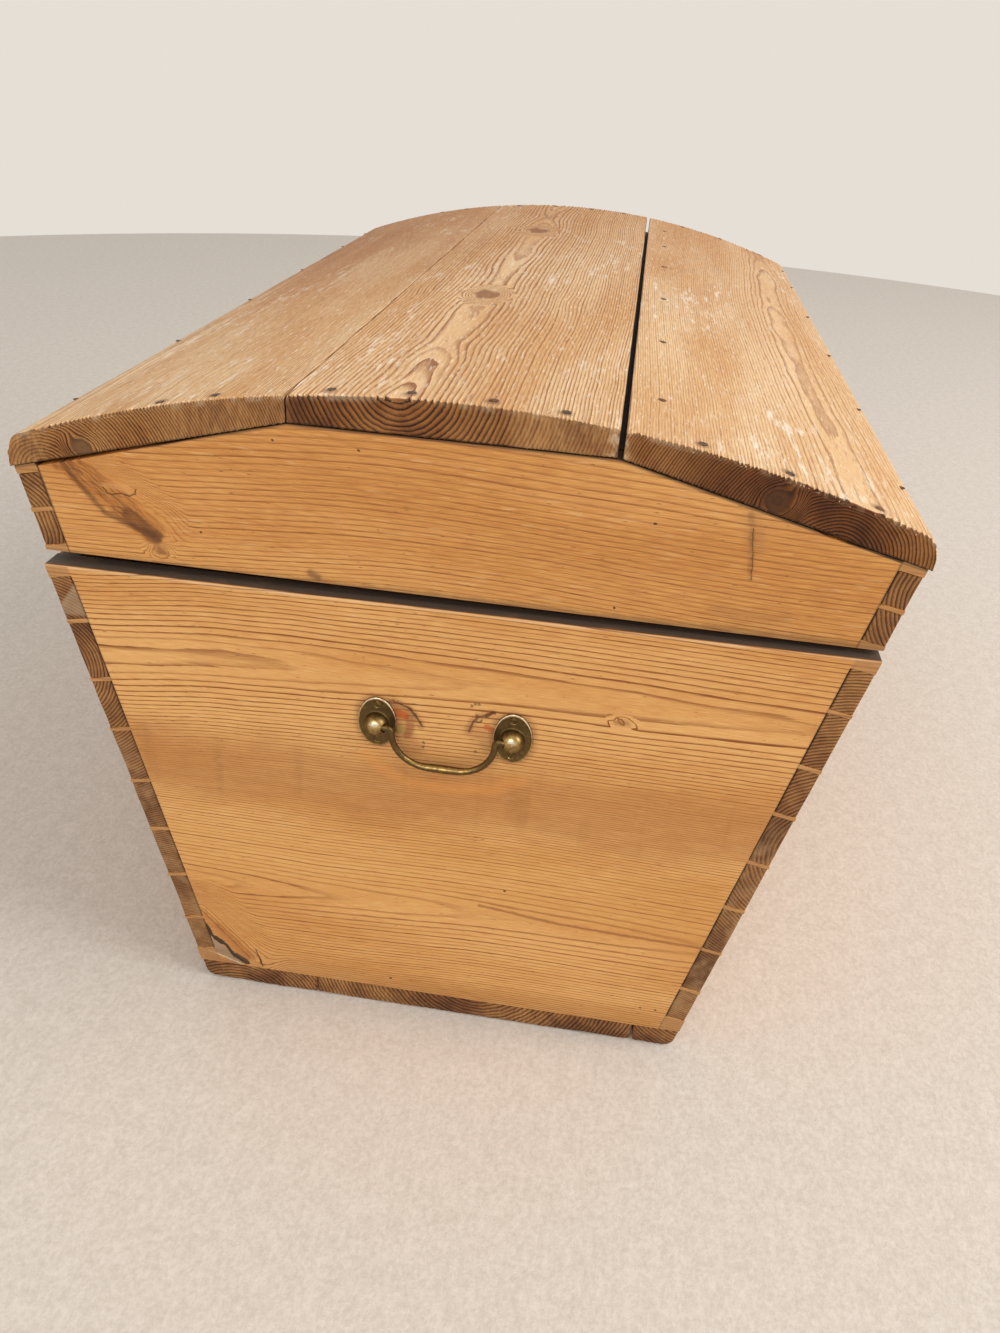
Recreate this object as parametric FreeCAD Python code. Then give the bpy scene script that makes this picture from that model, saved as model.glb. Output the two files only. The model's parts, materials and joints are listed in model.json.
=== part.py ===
import FreeCAD, Part
import math
import os

# A pine trunk with a domed lid and walls that lean outwards. +X runs along its length, to the right as seen
# from the front, the front faces -Y and +Z is up. The origin is on the floor under its middle.
# Lengths are in millimetres.

V = FreeCAD.Vector
ORIGIN = V(0, 0, 0)
ALONG = V(1, 0, 0)
ACROSS = V(0, 1, 0)
UP = V(0, 0, 1)
DOWN = V(0, 0, -1)

# Walls and bottom of the chest, whose length and width at the top follow from the lid's
CHEST_H = 433.0
CHEST_FOOT_W = 458.0
CHEST_PAST_LID = 8.0
WALL_T = 18.0
END_T = 20.0
BOTTOM_T = 22.0
BOTTOM_ROUND = 9.0
BOTTOM_FRONT_W = 114.0
BOTTOM_BACK_W = 41.0
BOTTOM_FRONT_GAP = 0.8
BOTTOM_BACK_GAP = 2.6

# Dovetails: the places of the pins are shares of the corner's slanted height
PIN_TIP = 3.0
FLARE_SHARE = 1.0 / 6.0
CHEST_PIN_SHARES = (0.130, 0.257, 0.384, 0.511, 0.638, 0.754, 0.881)
CHEST_TAIL_SHARES = (0.036, 0.973)
LID_PIN_SHARES = (0.48,)
LID_TAIL_SHARES = (0.05, 0.91)

# Lid
LID_L = 1044.0
LID_W = 654.0
NOSE_PAST_RAIL = 3.5
LID_GAP = 4.5
LID_REST_DEG = 0.37
LID_END_T = 20.0
LID_NOSE_H = 64.0
LID_FLAT_H = 118.7
CROWN_T = 27.0
DOME_SAG = 59.4
NOSE_R = 18.0
FRONT_SEAM_SHARE = 0.3584
BACK_SEAM_SHARE = 0.3379
FRONT_SEAM_GAP = 1.0
BACK_SEAM_GAP = 4.0
BATTEN_FRONT_W = 22.0
BATTEN_BACK_W = 50.0
BATTEN_T = 14.0

# Hand-forged nails with square shanks
HEAD_R = 3.2
HEAD_T = 1.2
SHANK_W = 2.8
PLANK_NAIL_L = 60.0
BATTEN_NAIL_L = 31.0
BOTTOM_NAIL_L = 58.0
STRAP_NAIL_L = 16.0
STRAP_HEAD_R = 4.0
LID_END_NAIL_SHARES = ((-0.64, 0.35), (-0.52, 0.50), (-0.27, 0.66), (-0.10, 0.60), (0.07, 0.64),
                       (0.22, 0.58), (0.50, 0.60), (0.68, 0.38), (0.87, 0.42))
RAIL_NAIL_SHARES = (0.08, 0.265, 0.45, 0.63, 0.81, 0.93)
BATTEN_NAIL_SHARES = (0.083, 0.252, 0.431, 0.613, 0.761, 0.895)
BATTEN_NAIL_Y_SHARE = 0.5
ESCUTCHEON_NAIL_W = 1.2
ESCUTCHEON_HEAD_R = 2.0
WALL_NAIL_SHARES = (-0.94, -0.62, -0.31, 0.02, 0.33, 0.64, 0.93)
END_NAIL_SHARES = (-0.76, -0.30, 0.20, 0.68)

# Strap hinges, let into the gap at the back edge
HINGE_SHARE = 0.68
STRAP_W = 30.0
STRAP_T = 2.1
KNUCKLE_R = 4.6
KNUCKLE_W = 9.6
KNUCKLE_GAP = 0.3
KNUCKLE_CLEAR = 0.5
BARREL_OFF = 1.4
HINGE_PIN_R = 2.2
HINGE_PIN_HEAD_R = 3.4
HINGE_PIN_HEAD_T = 1.4
PIN_CLEAR = 0.06
CHEST_STRAP_L = 150.0
BATTEN_TO_STRAP = 20.0
CHEST_STRAP_NAIL_SHARES = (0.15, 0.5, 0.88)
RAIL_STRAP_NAIL_SHARE = 0.5
LID_STRAP_NAIL_SHARES = (0.2, 0.55, 0.9)
LID_STRAP_NAIL_L = 15.0

# Brass handle: two roses with domed bosses and a bail that hangs between them
HANDLE_DROP = 105.0
HANDLE_Y = 1.3
ROSE_PITCH = 107.7
ROSE_W = 31.0
ROSE_H = 46.0
ROSE_T = 1.8
BOSS_R = 9.5
BOSS_SKIRT = 2.0
BAIL_OFF = 8.2
BAIL_R = 2.75
BAIL_CLEAR = 0.08
BAIL_PIN_PAST = 1.5
BORE_PAST = 2.1
BAIL_CORNER_R = 4.2
BAIL_BEND_R = 29.0
BAIL_SPAN = 82.0
GRIP_R = 3.4
ROSE_SCREW_PITCH = 33.0
ROSE_SCREW_R = 1.5
ROSE_SCREW_HEAD_R = 2.9
ROSE_SCREW_L = 17.0
SCREW_SLOT_W = 0.7
SCREW_SLOT_DEPTH = 0.6

# Lock on the inside of the front wall
LOCK_PLATE_W = 112.0
LOCK_PLATE_T = 2.0
LOCK_PLATE_L = 64.0
LOCK_FLANGE_L = 16.0
CASE_W = 82.0
CASE_H = 54.0
CASE_D = 22.0
CASE_SHEET = 1.5
CASE_DROP = 4.0
CASE_LEFT = 35.0
KEY_DROP = 36.0
KEY_POST_R = 2.0
KEY_POST_CLEAR = 2.0
KEYHOLE_R = 4.0
KEYHOLE_SLOT_W = 4.0
KEYHOLE_SLOT_L = 11.0
BOLT_T = 3.5
BOLT_W = 30.0
BOLT_L = 35.0
BOLT_RIGHT = 5.0
BOLT_IN = 12.2
BOLT_THROW = 12.0
TONGUE_L = 19.0
TONGUE_W = 8.0
TALON_W = 21.0
TALON_H = 12.0
TALON_EDGE = 0.7
LEDGE_W = 4.0
SLIDE_CLEAR = 0.3
LOOP_X = 28.0
LOOP_T = 4.0
LOOP_BAR = 2.3
LOOP_PLAY = 0.9
CATCH_W = 74.0
CATCH_SCREW_R = 1.8
CATCH_SCREW_HEAD_R = 3.4
CATCH_SCREW_L = 22.0
CATCH_SCREW_SHARE = 0.38
LOCK_NAIL_SHARES = (0.35, 0.85)
LOCK_NAIL_EDGE = 7.0
ESCUTCHEON_W = 30.0
ESCUTCHEON_H = 44.0
ESCUTCHEON_T = 1.4
ESCUTCHEON_PIN_PITCH = 36.0
ESCUTCHEON_PIN_L = 8.0

# Cutting tools run past the stock by this much
OVER = 4.0

# Sizes that follow. The lid's rails carry on the slope of the walls, and the planks' noses stand a little past
# them, so the lid's width fixes how wide the chest is at the top.
LID_END_X = LID_L / 2
CHEST_END_X = LID_END_X + CHEST_PAST_LID
NOSE_Y = LID_W / 2
WALL_RISE = CHEST_H - BOTTOM_T
RAIL_SHARE = (LID_GAP + LID_NOSE_H) / WALL_RISE
CHEST_TOP_Y = (NOSE_Y - NOSE_PAST_RAIL + RAIL_SHARE * CHEST_FOOT_W / 2) / (1 + RAIL_SHARE)
WALL_TAN = (CHEST_TOP_Y - CHEST_FOOT_W / 2) / WALL_RISE
LEAN = math.atan(WALL_TAN)
LEAN_DEG = math.degrees(LEAN)
WALL_LEVEL_T = WALL_T / math.cos(LEAN)
LID_BOTTOM_Z = CHEST_H + LID_GAP
NOSE_Z = LID_BOTTOM_Z + LID_NOSE_H
FLAT_Z = LID_BOTTOM_Z + LID_FLAT_H
CROWN_Z = FLAT_Z + CROWN_T
DOME_R = (NOSE_Y ** 2 + DOME_SAG ** 2) / (2 * DOME_SAG)
DOME_Z = CROWN_Z - DOME_R
FRONT_SEAM_Y = FRONT_SEAM_SHARE * NOSE_Y
BACK_SEAM_Y = BACK_SEAM_SHARE * NOSE_Y
BATTEN_BACK_Y = BACK_SEAM_Y + BATTEN_BACK_W
AXIS_Y = CHEST_TOP_Y + BARREL_OFF + KNUCKLE_R
AXIS_Z = CHEST_H + LID_GAP / 2
HINGE_X = HINGE_SHARE * CHEST_END_X
HANDLE_Z = CHEST_H - HANDLE_DROP


def half_width(z):
    """Half the outer width of the leaning walls, whose line the lid's rails carry on."""
    return CHEST_TOP_Y - (CHEST_H - z) * WALL_TAN


def slope_z(reach, seam):
    """Height of the planks' underside this far from the middle, on the side of this seam."""
    if reach <= seam:
        return FLAT_Z
    return FLAT_Z - (reach - seam) / (NOSE_Y - seam) * (FLAT_Z - NOSE_Z)


def underside_z(y):
    """Height of the planks' underside: flat in the middle, with a slope down to each nose."""
    return slope_z(abs(y), FRONT_SEAM_Y if y < 0 else BACK_SEAM_Y)


def dome_z(y):
    """Height of the domed top."""
    return DOME_Z + math.sqrt(DOME_R ** 2 - y ** 2)


def slab(outline, x_low, x_high):
    """A straight piece along X whose section in Y and Z is the outline."""
    points = [V(x_low, y, z) for y, z in outline]
    face = Part.Face(Part.makePolygon(points + points[:1]))
    return face.extrude(V(x_high - x_low, 0, 0))


def block(x, y, z):
    """A box from its low and high place on each axis."""
    return Part.makeBox(x[1] - x[0], y[1] - y[0], z[1] - z[0], V(x[0], y[0], z[0]))


def band(path, thickness, x_low, x_high):
    """A strap bent along a path in Y and Z, with its thickness on the left of the way it runs."""
    ways = [V(0, b[0] - a[0], b[1] - a[1]).normalize() for a, b in zip(path, path[1:])]
    normals = [V(0, -way.z, way.y) for way in ways]
    outer = []
    for place, before, after in zip(path, normals[:1] + normals, normals + normals[-1:]):
        mitre = (before + after) * (thickness / (1 + before.dot(after)))
        outer.append((place[0] + mitre.y, place[1] + mitre.z))
    return slab(path + outer[::-1], x_low, x_high)


def oval(width, height, thickness):
    """A plate in the XY plane whose outline is an ellipse, taller than it is wide."""
    edge = Part.Ellipse(ORIGIN, height / 2, width / 2).toShape()
    plate = Part.Face(Part.Wire(edge)).extrude(UP * thickness)
    plate.rotate(ORIGIN, UP, 90)
    return plate


def flip_x(shape):
    """The same piece at the other end."""
    return shape.mirror(ORIGIN, ALONG)


def flip_y(shape):
    """The same piece on the other long side."""
    return shape.mirror(ORIGIN, ACROSS)


def one_solid(shape):
    """The one solid that a row of cuts and fusions must leave."""
    solids = shape.removeSplitter().Solids
    if len(solids) > 1:
        raise ValueError("a piece fell into " + str(len(solids)) + " solids")
    return solids[0]


def lean(shape, y, z):
    """Stands a piece drawn upright at the origin on the front wall's slope, through the place given."""
    shape.rotate(ORIGIN, ALONG, LEAN_DEG)
    shape.translate(V(0, y, z))
    return shape


def rest(shape):
    """Turns a piece of the lid about the hinge axis to where the lid rests."""
    shape.rotate(V(0, AXIS_Y, AXIS_Z), ALONG, -LID_REST_DEG)
    return shape


# Nails and screws

def nail(length, head_r=HEAD_R, width=SHANK_W):
    """A nail that points down from a low conical head at the origin."""
    head = Part.makeCone(width / 2, head_r, HEAD_T, V(0, 0, -HEAD_T))
    shank = block((-width / 2, width / 2), (-width / 2, width / 2), (-length, -HEAD_T / 2))
    return head.fuse(shank).removeSplitter()


def screw(length, shank_r, head_r):
    """A wood screw that points down from a slotted, sunk head at the origin."""
    head_t = head_r - shank_r
    head = Part.makeCone(shank_r, head_r, head_t, V(0, 0, -head_t))
    shank = Part.makeCylinder(shank_r, length - head_t, V(0, 0, -length))
    slot = block((-head_r, head_r), (-SCREW_SLOT_W / 2, SCREW_SLOT_W / 2), (-SCREW_SLOT_DEPTH, OVER))
    return head.fuse(shank).removeSplitter(), head.fuse(shank).cut(slot).removeSplitter()


def drive(fastener, place, way):
    """Sets a fastener's head at a place, pointing the way it is driven."""
    fastener.Placement = FreeCAD.Placement(place, FreeCAD.Rotation(DOWN, way))
    return fastener


# Dovetailed corners

def corner_pins(stock, end_x, board_t, foot_z, height, pin_shares, tail_shares):
    """The front right corner's pins: the stock in the end board's thickness, less the tails."""
    slant = height / math.cos(LEAN)
    flare = board_t * FLARE_SHARE
    cuts = [tail_shares[0] * slant]
    for share in pin_shares:
        cuts.append(share * slant - PIN_TIP / 2)
        cuts.append(share * slant + PIN_TIP / 2)
    cuts.append(tail_shares[1] * slant)
    tails = []
    for low, high in zip(cuts[0::2], cuts[1::2]):
        outline = [V(end_x, 0, low), V(end_x, 0, high),
                   V(end_x - board_t, 0, high - flare), V(end_x - board_t, 0, low + flare)]
        face = Part.Face(Part.makePolygon(outline + outline[:1]))
        tails.append(lean(face.extrude(V(0, WALL_T, 0)), -half_width(foot_z), foot_z))
    bounds = stock.BoundBox
    cube = block((end_x - board_t, end_x), (bounds.YMin, bounds.YMax), (bounds.ZMin, bounds.ZMax))
    return stock.common(cube).cut(tails)


def dovetailed(front_stock, filling, pins):
    """Front, back, right and left boards of a frame that is dovetailed at its four corners."""
    front = one_solid(front_stock.cut([pins, flip_x(pins)]))
    right = one_solid(filling.fuse([pins, flip_y(pins)]))
    return [front, flip_y(front), right, flip_x(right)]


# Chest

def chest_walls():
    """Front, back, right and left walls of the chest."""
    foot, top = half_width(BOTTOM_T), half_width(CHEST_H)
    foot_in, top_in = foot - WALL_LEVEL_T, top - WALL_LEVEL_T
    front = slab([(-foot, BOTTOM_T), (-foot_in, BOTTOM_T), (-top_in, CHEST_H), (-top, CHEST_H)],
                 -CHEST_END_X, CHEST_END_X)
    filling = slab([(-foot_in, BOTTOM_T), (foot_in, BOTTOM_T), (top_in, CHEST_H), (-top_in, CHEST_H)],
                   CHEST_END_X - END_T, CHEST_END_X)
    pins = corner_pins(front, CHEST_END_X, END_T, BOTTOM_T, WALL_RISE, CHEST_PIN_SHARES, CHEST_TAIL_SHARES)
    return dovetailed(front, filling, pins)


def bottom_boards():
    """Front, middle and back bottom boards, rounded underneath along the outer edges."""
    foot, floor = half_width(BOTTOM_T), half_width(0)
    whole = slab([(-floor, 0), (floor, 0), (foot, BOTTOM_T), (-foot, BOTTOM_T)], -CHEST_END_X, CHEST_END_X)
    edges = [e for e in whole.Edges if e.BoundBox.ZMax < BOTTOM_T / 2 and e.BoundBox.XLength > END_T]
    whole = whole.makeFillet(BOTTOM_ROUND, edges)
    first = -foot + BOTTOM_FRONT_W
    last = foot - BOTTOM_BACK_W
    spans = ((-foot, first), (first + BOTTOM_FRONT_GAP, last - BOTTOM_BACK_GAP), (last, foot))
    return [one_solid(whole.common(block((-CHEST_END_X, CHEST_END_X), span, (0, BOTTOM_T)))) for span in spans]


def bottom_nails():
    """Nails up through the bottom into the walls and the end boards."""
    nails = []
    y = -half_width(0) + WALL_LEVEL_T / 2
    for share in WALL_NAIL_SHARES:
        place = V(share * (CHEST_END_X - END_T), y, 0)
        nails.append(drive(nail(BOTTOM_NAIL_L), place, V(0, -math.sin(LEAN), math.cos(LEAN))))
        nails.append(flip_y(nails[-1]))
    for share in END_NAIL_SHARES:
        place = V(CHEST_END_X - END_T / 2, share * CHEST_FOOT_W / 2, 0)
        nails.append(drive(nail(BOTTOM_NAIL_L), place, UP))
        nails.append(flip_x(nails[-1]))
    return nails


# Lid

def rail_meets(inset, seam):
    """Where a rail's outer line, set in by this much, meets the underside that slopes from the seam."""
    slope = (FLAT_Z - NOSE_Z) / (NOSE_Y - seam)
    line_y = half_width(0) - inset
    z = (NOSE_Z + slope * (NOSE_Y - line_y)) / (1 + slope * WALL_TAN)
    return line_y + WALL_TAN * z, z


def lid_frame():
    """Front and back rails and right and left end boards of the lid, cut to the planks' underside."""
    tall = CROWN_Z + OVER
    low, high = half_width(LID_BOTTOM_Z), half_width(tall)
    low_in, high_in = low - WALL_LEVEL_T, high - WALL_LEVEL_T
    rail = slab([(-low, LID_BOTTOM_Z), (-low_in, LID_BOTTOM_Z), (-high_in, tall), (-high, tall)],
                -LID_END_X, LID_END_X)
    filling = slab([(-low_in, LID_BOTTOM_Z), (low_in, LID_BOTTOM_Z), (high_in, tall), (-high_in, tall)],
                   LID_END_X - LID_END_T, LID_END_X)
    height = rail_meets(0, FRONT_SEAM_Y)[1] - LID_BOTTOM_Z
    pins = corner_pins(rail, LID_END_X, LID_END_T, LID_BOTTOM_Z, height, LID_PIN_SHARES, LID_TAIL_SHARES)
    wide = high + OVER
    above = slab([(-wide, underside_z(-wide)), (-FRONT_SEAM_Y, FLAT_Z), (BACK_SEAM_Y, FLAT_Z),
                  (wide, underside_z(wide)), (wide, tall + OVER), (-wide, tall + OVER)],
                 -LID_END_X - OVER, LID_END_X + OVER)
    return [one_solid(board.cut(above)) for board in dovetailed(rail, filling, pins)]


def outline_face(lines, arcs):
    """A face in Y and Z from its straight and round edges."""
    edges = [Part.LineSegment(a, b).toShape() for a, b in lines]
    edges += [Part.Arc(a, b, c).toShape() for a, b, c in arcs]
    return Part.Face(Part.Wire(Part.__sortEdges__(edges)))


def middle_section():
    """Section of the middle plank, between its two seams."""
    front = -FRONT_SEAM_Y + FRONT_SEAM_GAP / 2
    back = BACK_SEAM_Y - BACK_SEAM_GAP / 2
    low = [V(0, y, FLAT_Z) for y in (front, back)]
    high = [V(0, y, dome_z(y)) for y in (front, 0, back)]
    return outline_face([(low[0], low[1]), (low[0], high[0]), (low[1], high[2])], [high])


def nose_centre():
    """The middle of the nose's round, in Y and Z."""
    y = NOSE_Y - NOSE_R
    return y, DOME_Z + math.sqrt((DOME_R - NOSE_R) ** 2 - y ** 2)


def side_section(seam, gap):
    """Section of a side plank on the +Y side, from its seam to the rounded nose."""
    edge_y = seam + gap / 2
    turn_y, turn_z = nose_centre()
    angle = math.atan2(turn_z - DOME_Z, turn_y)
    tangent = V(0, DOME_R * math.cos(angle), DOME_Z + DOME_R * math.sin(angle))
    bend = V(0, turn_y + NOSE_R * math.cos(angle / 2), turn_z + NOSE_R * math.sin(angle / 2))
    nose = V(0, NOSE_Y, turn_z)
    corner = V(0, NOSE_Y, NOSE_Z)
    low = V(0, edge_y, slope_z(edge_y, seam))
    high = V(0, edge_y, dome_z(edge_y))
    crown_y = (edge_y + tangent.y) / 2
    crown = V(0, crown_y, dome_z(crown_y))
    return outline_face([(low, corner), (corner, nose), (low, high)],
                        [(nose, bend, tangent), (tangent, crown, high)])


def lid_planks():
    """Front, middle and back planks of the dome."""
    sections = [flip_y(side_section(FRONT_SEAM_Y, FRONT_SEAM_GAP)), middle_section(),
                side_section(BACK_SEAM_Y, BACK_SEAM_GAP)]
    planks = []
    for section in sections:
        section.translate(V(-LID_END_X, 0, 0))
        planks.append(section.extrude(V(LID_L, 0, 0)))
    return planks


def batten():
    """The batten that closes the open crack from inside, under the middle and the back plank."""
    top = [(BACK_SEAM_Y - BATTEN_FRONT_W, FLAT_Z), (BACK_SEAM_Y, FLAT_Z),
           (BATTEN_BACK_Y, underside_z(BATTEN_BACK_Y))]
    bottom = [(y, z - BATTEN_T) for y, z in reversed(top)]
    return slab(top + bottom, -LID_END_X + LID_END_T, LID_END_X - LID_END_T)


def into_dome(length, x, y):
    """A nail at this place on the dome, pointing to the dome's centre line."""
    place = V(x, y, dome_z(y))
    return drive(nail(length), place, V(0, -y, DOME_Z - place.z))


def lid_end_nails():
    """Nails down through the planks into the lid's end boards."""
    nails = []
    for share, inset_share in LID_END_NAIL_SHARES:
        x = LID_END_X - inset_share * LID_END_T
        nails.append(into_dome(PLANK_NAIL_L, x, share * NOSE_Y))
        nails.append(flip_x(nails[-1]))
    return nails


def rail_nails():
    """Nails down through the planks' noses into the rails."""
    y = rail_meets(WALL_LEVEL_T / 2, BACK_SEAM_Y)[0]
    turn_y, turn_z = nose_centre()
    top = turn_z + math.sqrt(NOSE_R ** 2 - (y - turn_y) ** 2)
    nails = []
    for share in RAIL_NAIL_SHARES:
        nails.append(drive(nail(PLANK_NAIL_L), V(LID_END_X - share * LID_L, y, top), DOWN))
        nails.append(flip_y(nails[-1]))
    return nails


def batten_nails():
    """Nails down through the back plank into the batten."""
    y = BACK_SEAM_Y + BATTEN_NAIL_Y_SHARE * BATTEN_BACK_W
    return [into_dome(BATTEN_NAIL_L, LID_END_X - share * LID_L, y) for share in BATTEN_NAIL_SHARES]


# Hinges

def barrel(radius, x_low, x_high):
    """A stretch of a hinge's barrel, or of its pin, on the hinge axis."""
    return Part.makeCylinder(radius, x_high - x_low, V(x_low, AXIS_Y, AXIS_Z), ALONG)


def chest_strap():
    """The leaf that lies over the back wall's edge and down its inside, and its three nails."""
    half = STRAP_W / 2
    inner = half - KNUCKLE_W
    low_z = CHEST_H - CHEST_STRAP_L * math.cos(LEAN)
    path = [(half_width(low_z) - WALL_LEVEL_T, low_z), (half_width(CHEST_H) - WALL_LEVEL_T, CHEST_H),
            (AXIS_Y, CHEST_H)]
    strap = band(path, STRAP_T, -half, half)
    strap = strap.fuse([barrel(KNUCKLE_R, -half, -inner), barrel(KNUCKLE_R, inner, half)])
    notch_y = AXIS_Y - KNUCKLE_R - KNUCKLE_CLEAR
    notch = block((-inner, inner), (notch_y, AXIS_Y + KNUCKLE_R), (CHEST_H - OVER, CHEST_H + STRAP_T + OVER))
    strap = strap.cut([notch, barrel(HINGE_PIN_R + PIN_CLEAR, -half, half)])
    nails = []
    for share in CHEST_STRAP_NAIL_SHARES:
        z = CHEST_H - share * CHEST_STRAP_L * math.cos(LEAN)
        place = V(0, half_width(z) - WALL_LEVEL_T, z)
        out = V(0, math.cos(LEAN), -math.sin(LEAN))
        nails.append(drive(nail(STRAP_NAIL_L, STRAP_HEAD_R), place - out * STRAP_T, out))
    return one_solid(strap.cut(nails)), nails


def lid_strap():
    """The leaf under the back rail's edge, up its inside and under the back plank, and its nails."""
    half = STRAP_W / 2
    inner = half - KNUCKLE_W - KNUCKLE_GAP
    corner = rail_meets(WALL_LEVEL_T, BACK_SEAM_Y)
    slope = math.atan2(FLAT_Z - NOSE_Z, NOSE_Y - BACK_SEAM_Y)
    length = (corner[0] - BATTEN_BACK_Y - BATTEN_TO_STRAP) / math.cos(slope)
    tip = (corner[0] - length * math.cos(slope), corner[1] + length * math.sin(slope))
    foot = (half_width(LID_BOTTOM_Z) - WALL_LEVEL_T, LID_BOTTOM_Z)
    strap = band([(AXIS_Y, LID_BOTTOM_Z), foot, corner, tip], STRAP_T, -half, half)
    strap = strap.fuse(barrel(KNUCKLE_R, -inner, inner))
    notch_y = (AXIS_Y - KNUCKLE_R - KNUCKLE_CLEAR, AXIS_Y + KNUCKLE_R)
    notch_z = (LID_BOTTOM_Z - STRAP_T - OVER, LID_BOTTOM_Z + OVER)
    notches = [block((-half, -inner), notch_y, notch_z), block((inner, half), notch_y, notch_z)]
    strap = strap.cut(notches + [barrel(HINGE_PIN_R + PIN_CLEAR, -half, half)])
    out = V(0, math.cos(LEAN), -math.sin(LEAN))
    middle_z = foot[1] + RAIL_STRAP_NAIL_SHARE * (corner[1] - foot[1])
    place = V(0, half_width(middle_z) - WALL_LEVEL_T, middle_z)
    nails = [drive(nail(STRAP_NAIL_L, STRAP_HEAD_R), place - out * STRAP_T, out)]
    above = V(0, math.sin(slope), math.cos(slope))
    for share in LID_STRAP_NAIL_SHARES:
        run = share * length
        place = V(0, corner[0] - run * math.cos(slope), corner[1] + run * math.sin(slope))
        nails.append(drive(nail(LID_STRAP_NAIL_L, STRAP_HEAD_R), place - above * STRAP_T, above))
    return one_solid(strap.cut(nails)), nails


def hinge_pin():
    """The pin through the knuckles, with a head at each end."""
    reach = STRAP_W / 2 + KNUCKLE_GAP
    heads = [barrel(HINGE_PIN_HEAD_R, reach, reach + HINGE_PIN_HEAD_T),
             barrel(HINGE_PIN_HEAD_R, -reach - HINGE_PIN_HEAD_T, -reach)]
    return one_solid(barrel(HINGE_PIN_R, -reach, reach).fuse(heads))


def at_x(shape, x):
    """A copy moved along the trunk."""
    moved = shape.copy()
    moved.translate(V(x, 0, 0))
    return moved


# Handles

def rose_and_screws():
    """The right handle's back rose and its two screws, as stock that also drills their holes."""
    plate = oval(ROSE_W, ROSE_H, ROSE_T)
    plate.rotate(ORIGIN, V(1, 1, 1), 120)
    dome_x = ROSE_T + BOSS_SKIRT
    skirt = Part.makeCylinder(BOSS_R, dome_x, ORIGIN, ALONG)
    ball = Part.makeSphere(BOSS_R, V(dome_x, 0, 0))
    ball = ball.common(block((0, dome_x + BOSS_R), (-BOSS_R, BOSS_R), (-BOSS_R, BOSS_R)))
    bore_l = BOSS_R + BORE_PAST + OVER
    bore = Part.makeCylinder(BAIL_R + BAIL_CLEAR, bore_l, V(BAIL_OFF, BORE_PAST - bore_l, 0), ACROSS)
    rose = plate.fuse([skirt, ball]).cut(bore)
    stocks, screws = [], []
    for side in (-1, 1):
        place = V(ROSE_T, 0, side * ROSE_SCREW_PITCH / 2)
        for made, kept in zip(screw(ROSE_SCREW_L, ROSE_SCREW_R, ROSE_SCREW_HEAD_R), (stocks, screws)):
            kept.append(drive(made, place, -ALONG))
    seat = V(CHEST_END_X, HANDLE_Y + ROSE_PITCH / 2, HANDLE_Z)
    pieces = [one_solid(rose.cut(stocks))] + stocks + screws
    for piece in pieces:
        piece.translate(seat)
    return pieces[0], stocks, screws


def flip_handle(shape):
    """The same piece on the other side of the handle's middle."""
    return shape.mirror(V(0, HANDLE_Y, 0), ACROSS)


def bail():
    """The right handle's bail, hanging from its two pins."""
    pin_y = ROSE_PITCH / 2 + BAIL_PIN_PAST
    leg_y = BAIL_SPAN / 2
    turn_y = leg_y - BAIL_BEND_R
    bottom = -BAIL_CORNER_R - BAIL_BEND_R
    near, far = math.cos(math.pi / 4), 1 - math.cos(math.pi / 4)
    corner = [V(0, leg_y + BAIL_CORNER_R, 0),
              V(0, leg_y + BAIL_CORNER_R * far, -BAIL_CORNER_R * far),
              V(0, leg_y, -BAIL_CORNER_R)]
    bend = [corner[2], V(0, turn_y + BAIL_BEND_R * near, -BAIL_CORNER_R - BAIL_BEND_R * near),
            V(0, turn_y, bottom)]
    edges = [Part.LineSegment(V(0, pin_y, 0), corner[0]).toShape(), Part.Arc(*corner).toShape(),
             Part.Arc(*bend).toShape(), Part.LineSegment(bend[2], V(0, 0, bottom)).toShape()]
    ring = Part.Wire(Part.makeCircle(BAIL_R, V(0, pin_y, 0), ACROSS))
    half = Part.Wire(edges).makePipeShell([ring], True, False)
    swell = outline_face([(V(0, -turn_y, bottom), V(0, turn_y, bottom)),
                          (V(0, -turn_y, bottom), V(0, -turn_y, bottom - BAIL_R)),
                          (V(0, turn_y, bottom), V(0, turn_y, bottom - BAIL_R))],
                         [(V(0, -turn_y, bottom - BAIL_R), V(0, 0, bottom - GRIP_R),
                           V(0, turn_y, bottom - BAIL_R))])
    grip = swell.revolve(V(0, 0, bottom), ACROSS, 360)
    whole = one_solid(half.fuse([flip_y(half), grip]))
    whole.translate(V(CHEST_END_X + BAIL_OFF, HANDLE_Y, HANDLE_Z))
    return whole


# Lock: its pieces are drawn upright, X along the wall, Y into the chest and Z up from the wall's top edge

def on_lock(shape):
    """Leans a piece of the lock onto the inside of the front wall."""
    return lean(shape, -half_width(CHEST_H) + WALL_LEVEL_T, CHEST_H)


def lock_ends():
    """Low and high place of the lock's case along the trunk, the keyhole being at nought."""
    return -CASE_LEFT, CASE_W - CASE_LEFT


def bolt_top():
    """Height of the bolt's top edge under the wall's top edge, as the upper ledge leaves it."""
    return -(CASE_DROP + CASE_SHEET + LEDGE_W + SLIDE_CLEAR)


def keyhole():
    """The tool that cuts the keyhole through escutcheon, wall and plate."""
    depth = (-WALL_T - ESCUTCHEON_T - OVER, LOCK_PLATE_T + OVER)
    pipe = Part.makeCylinder(KEYHOLE_R, depth[1] - depth[0], V(0, depth[0], -KEY_DROP), ACROSS)
    slot = block((-KEYHOLE_SLOT_W / 2, KEYHOLE_SLOT_W / 2), depth, (-KEY_DROP - KEYHOLE_SLOT_L, -KEY_DROP))
    return on_lock(pipe.fuse(slot))


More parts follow.
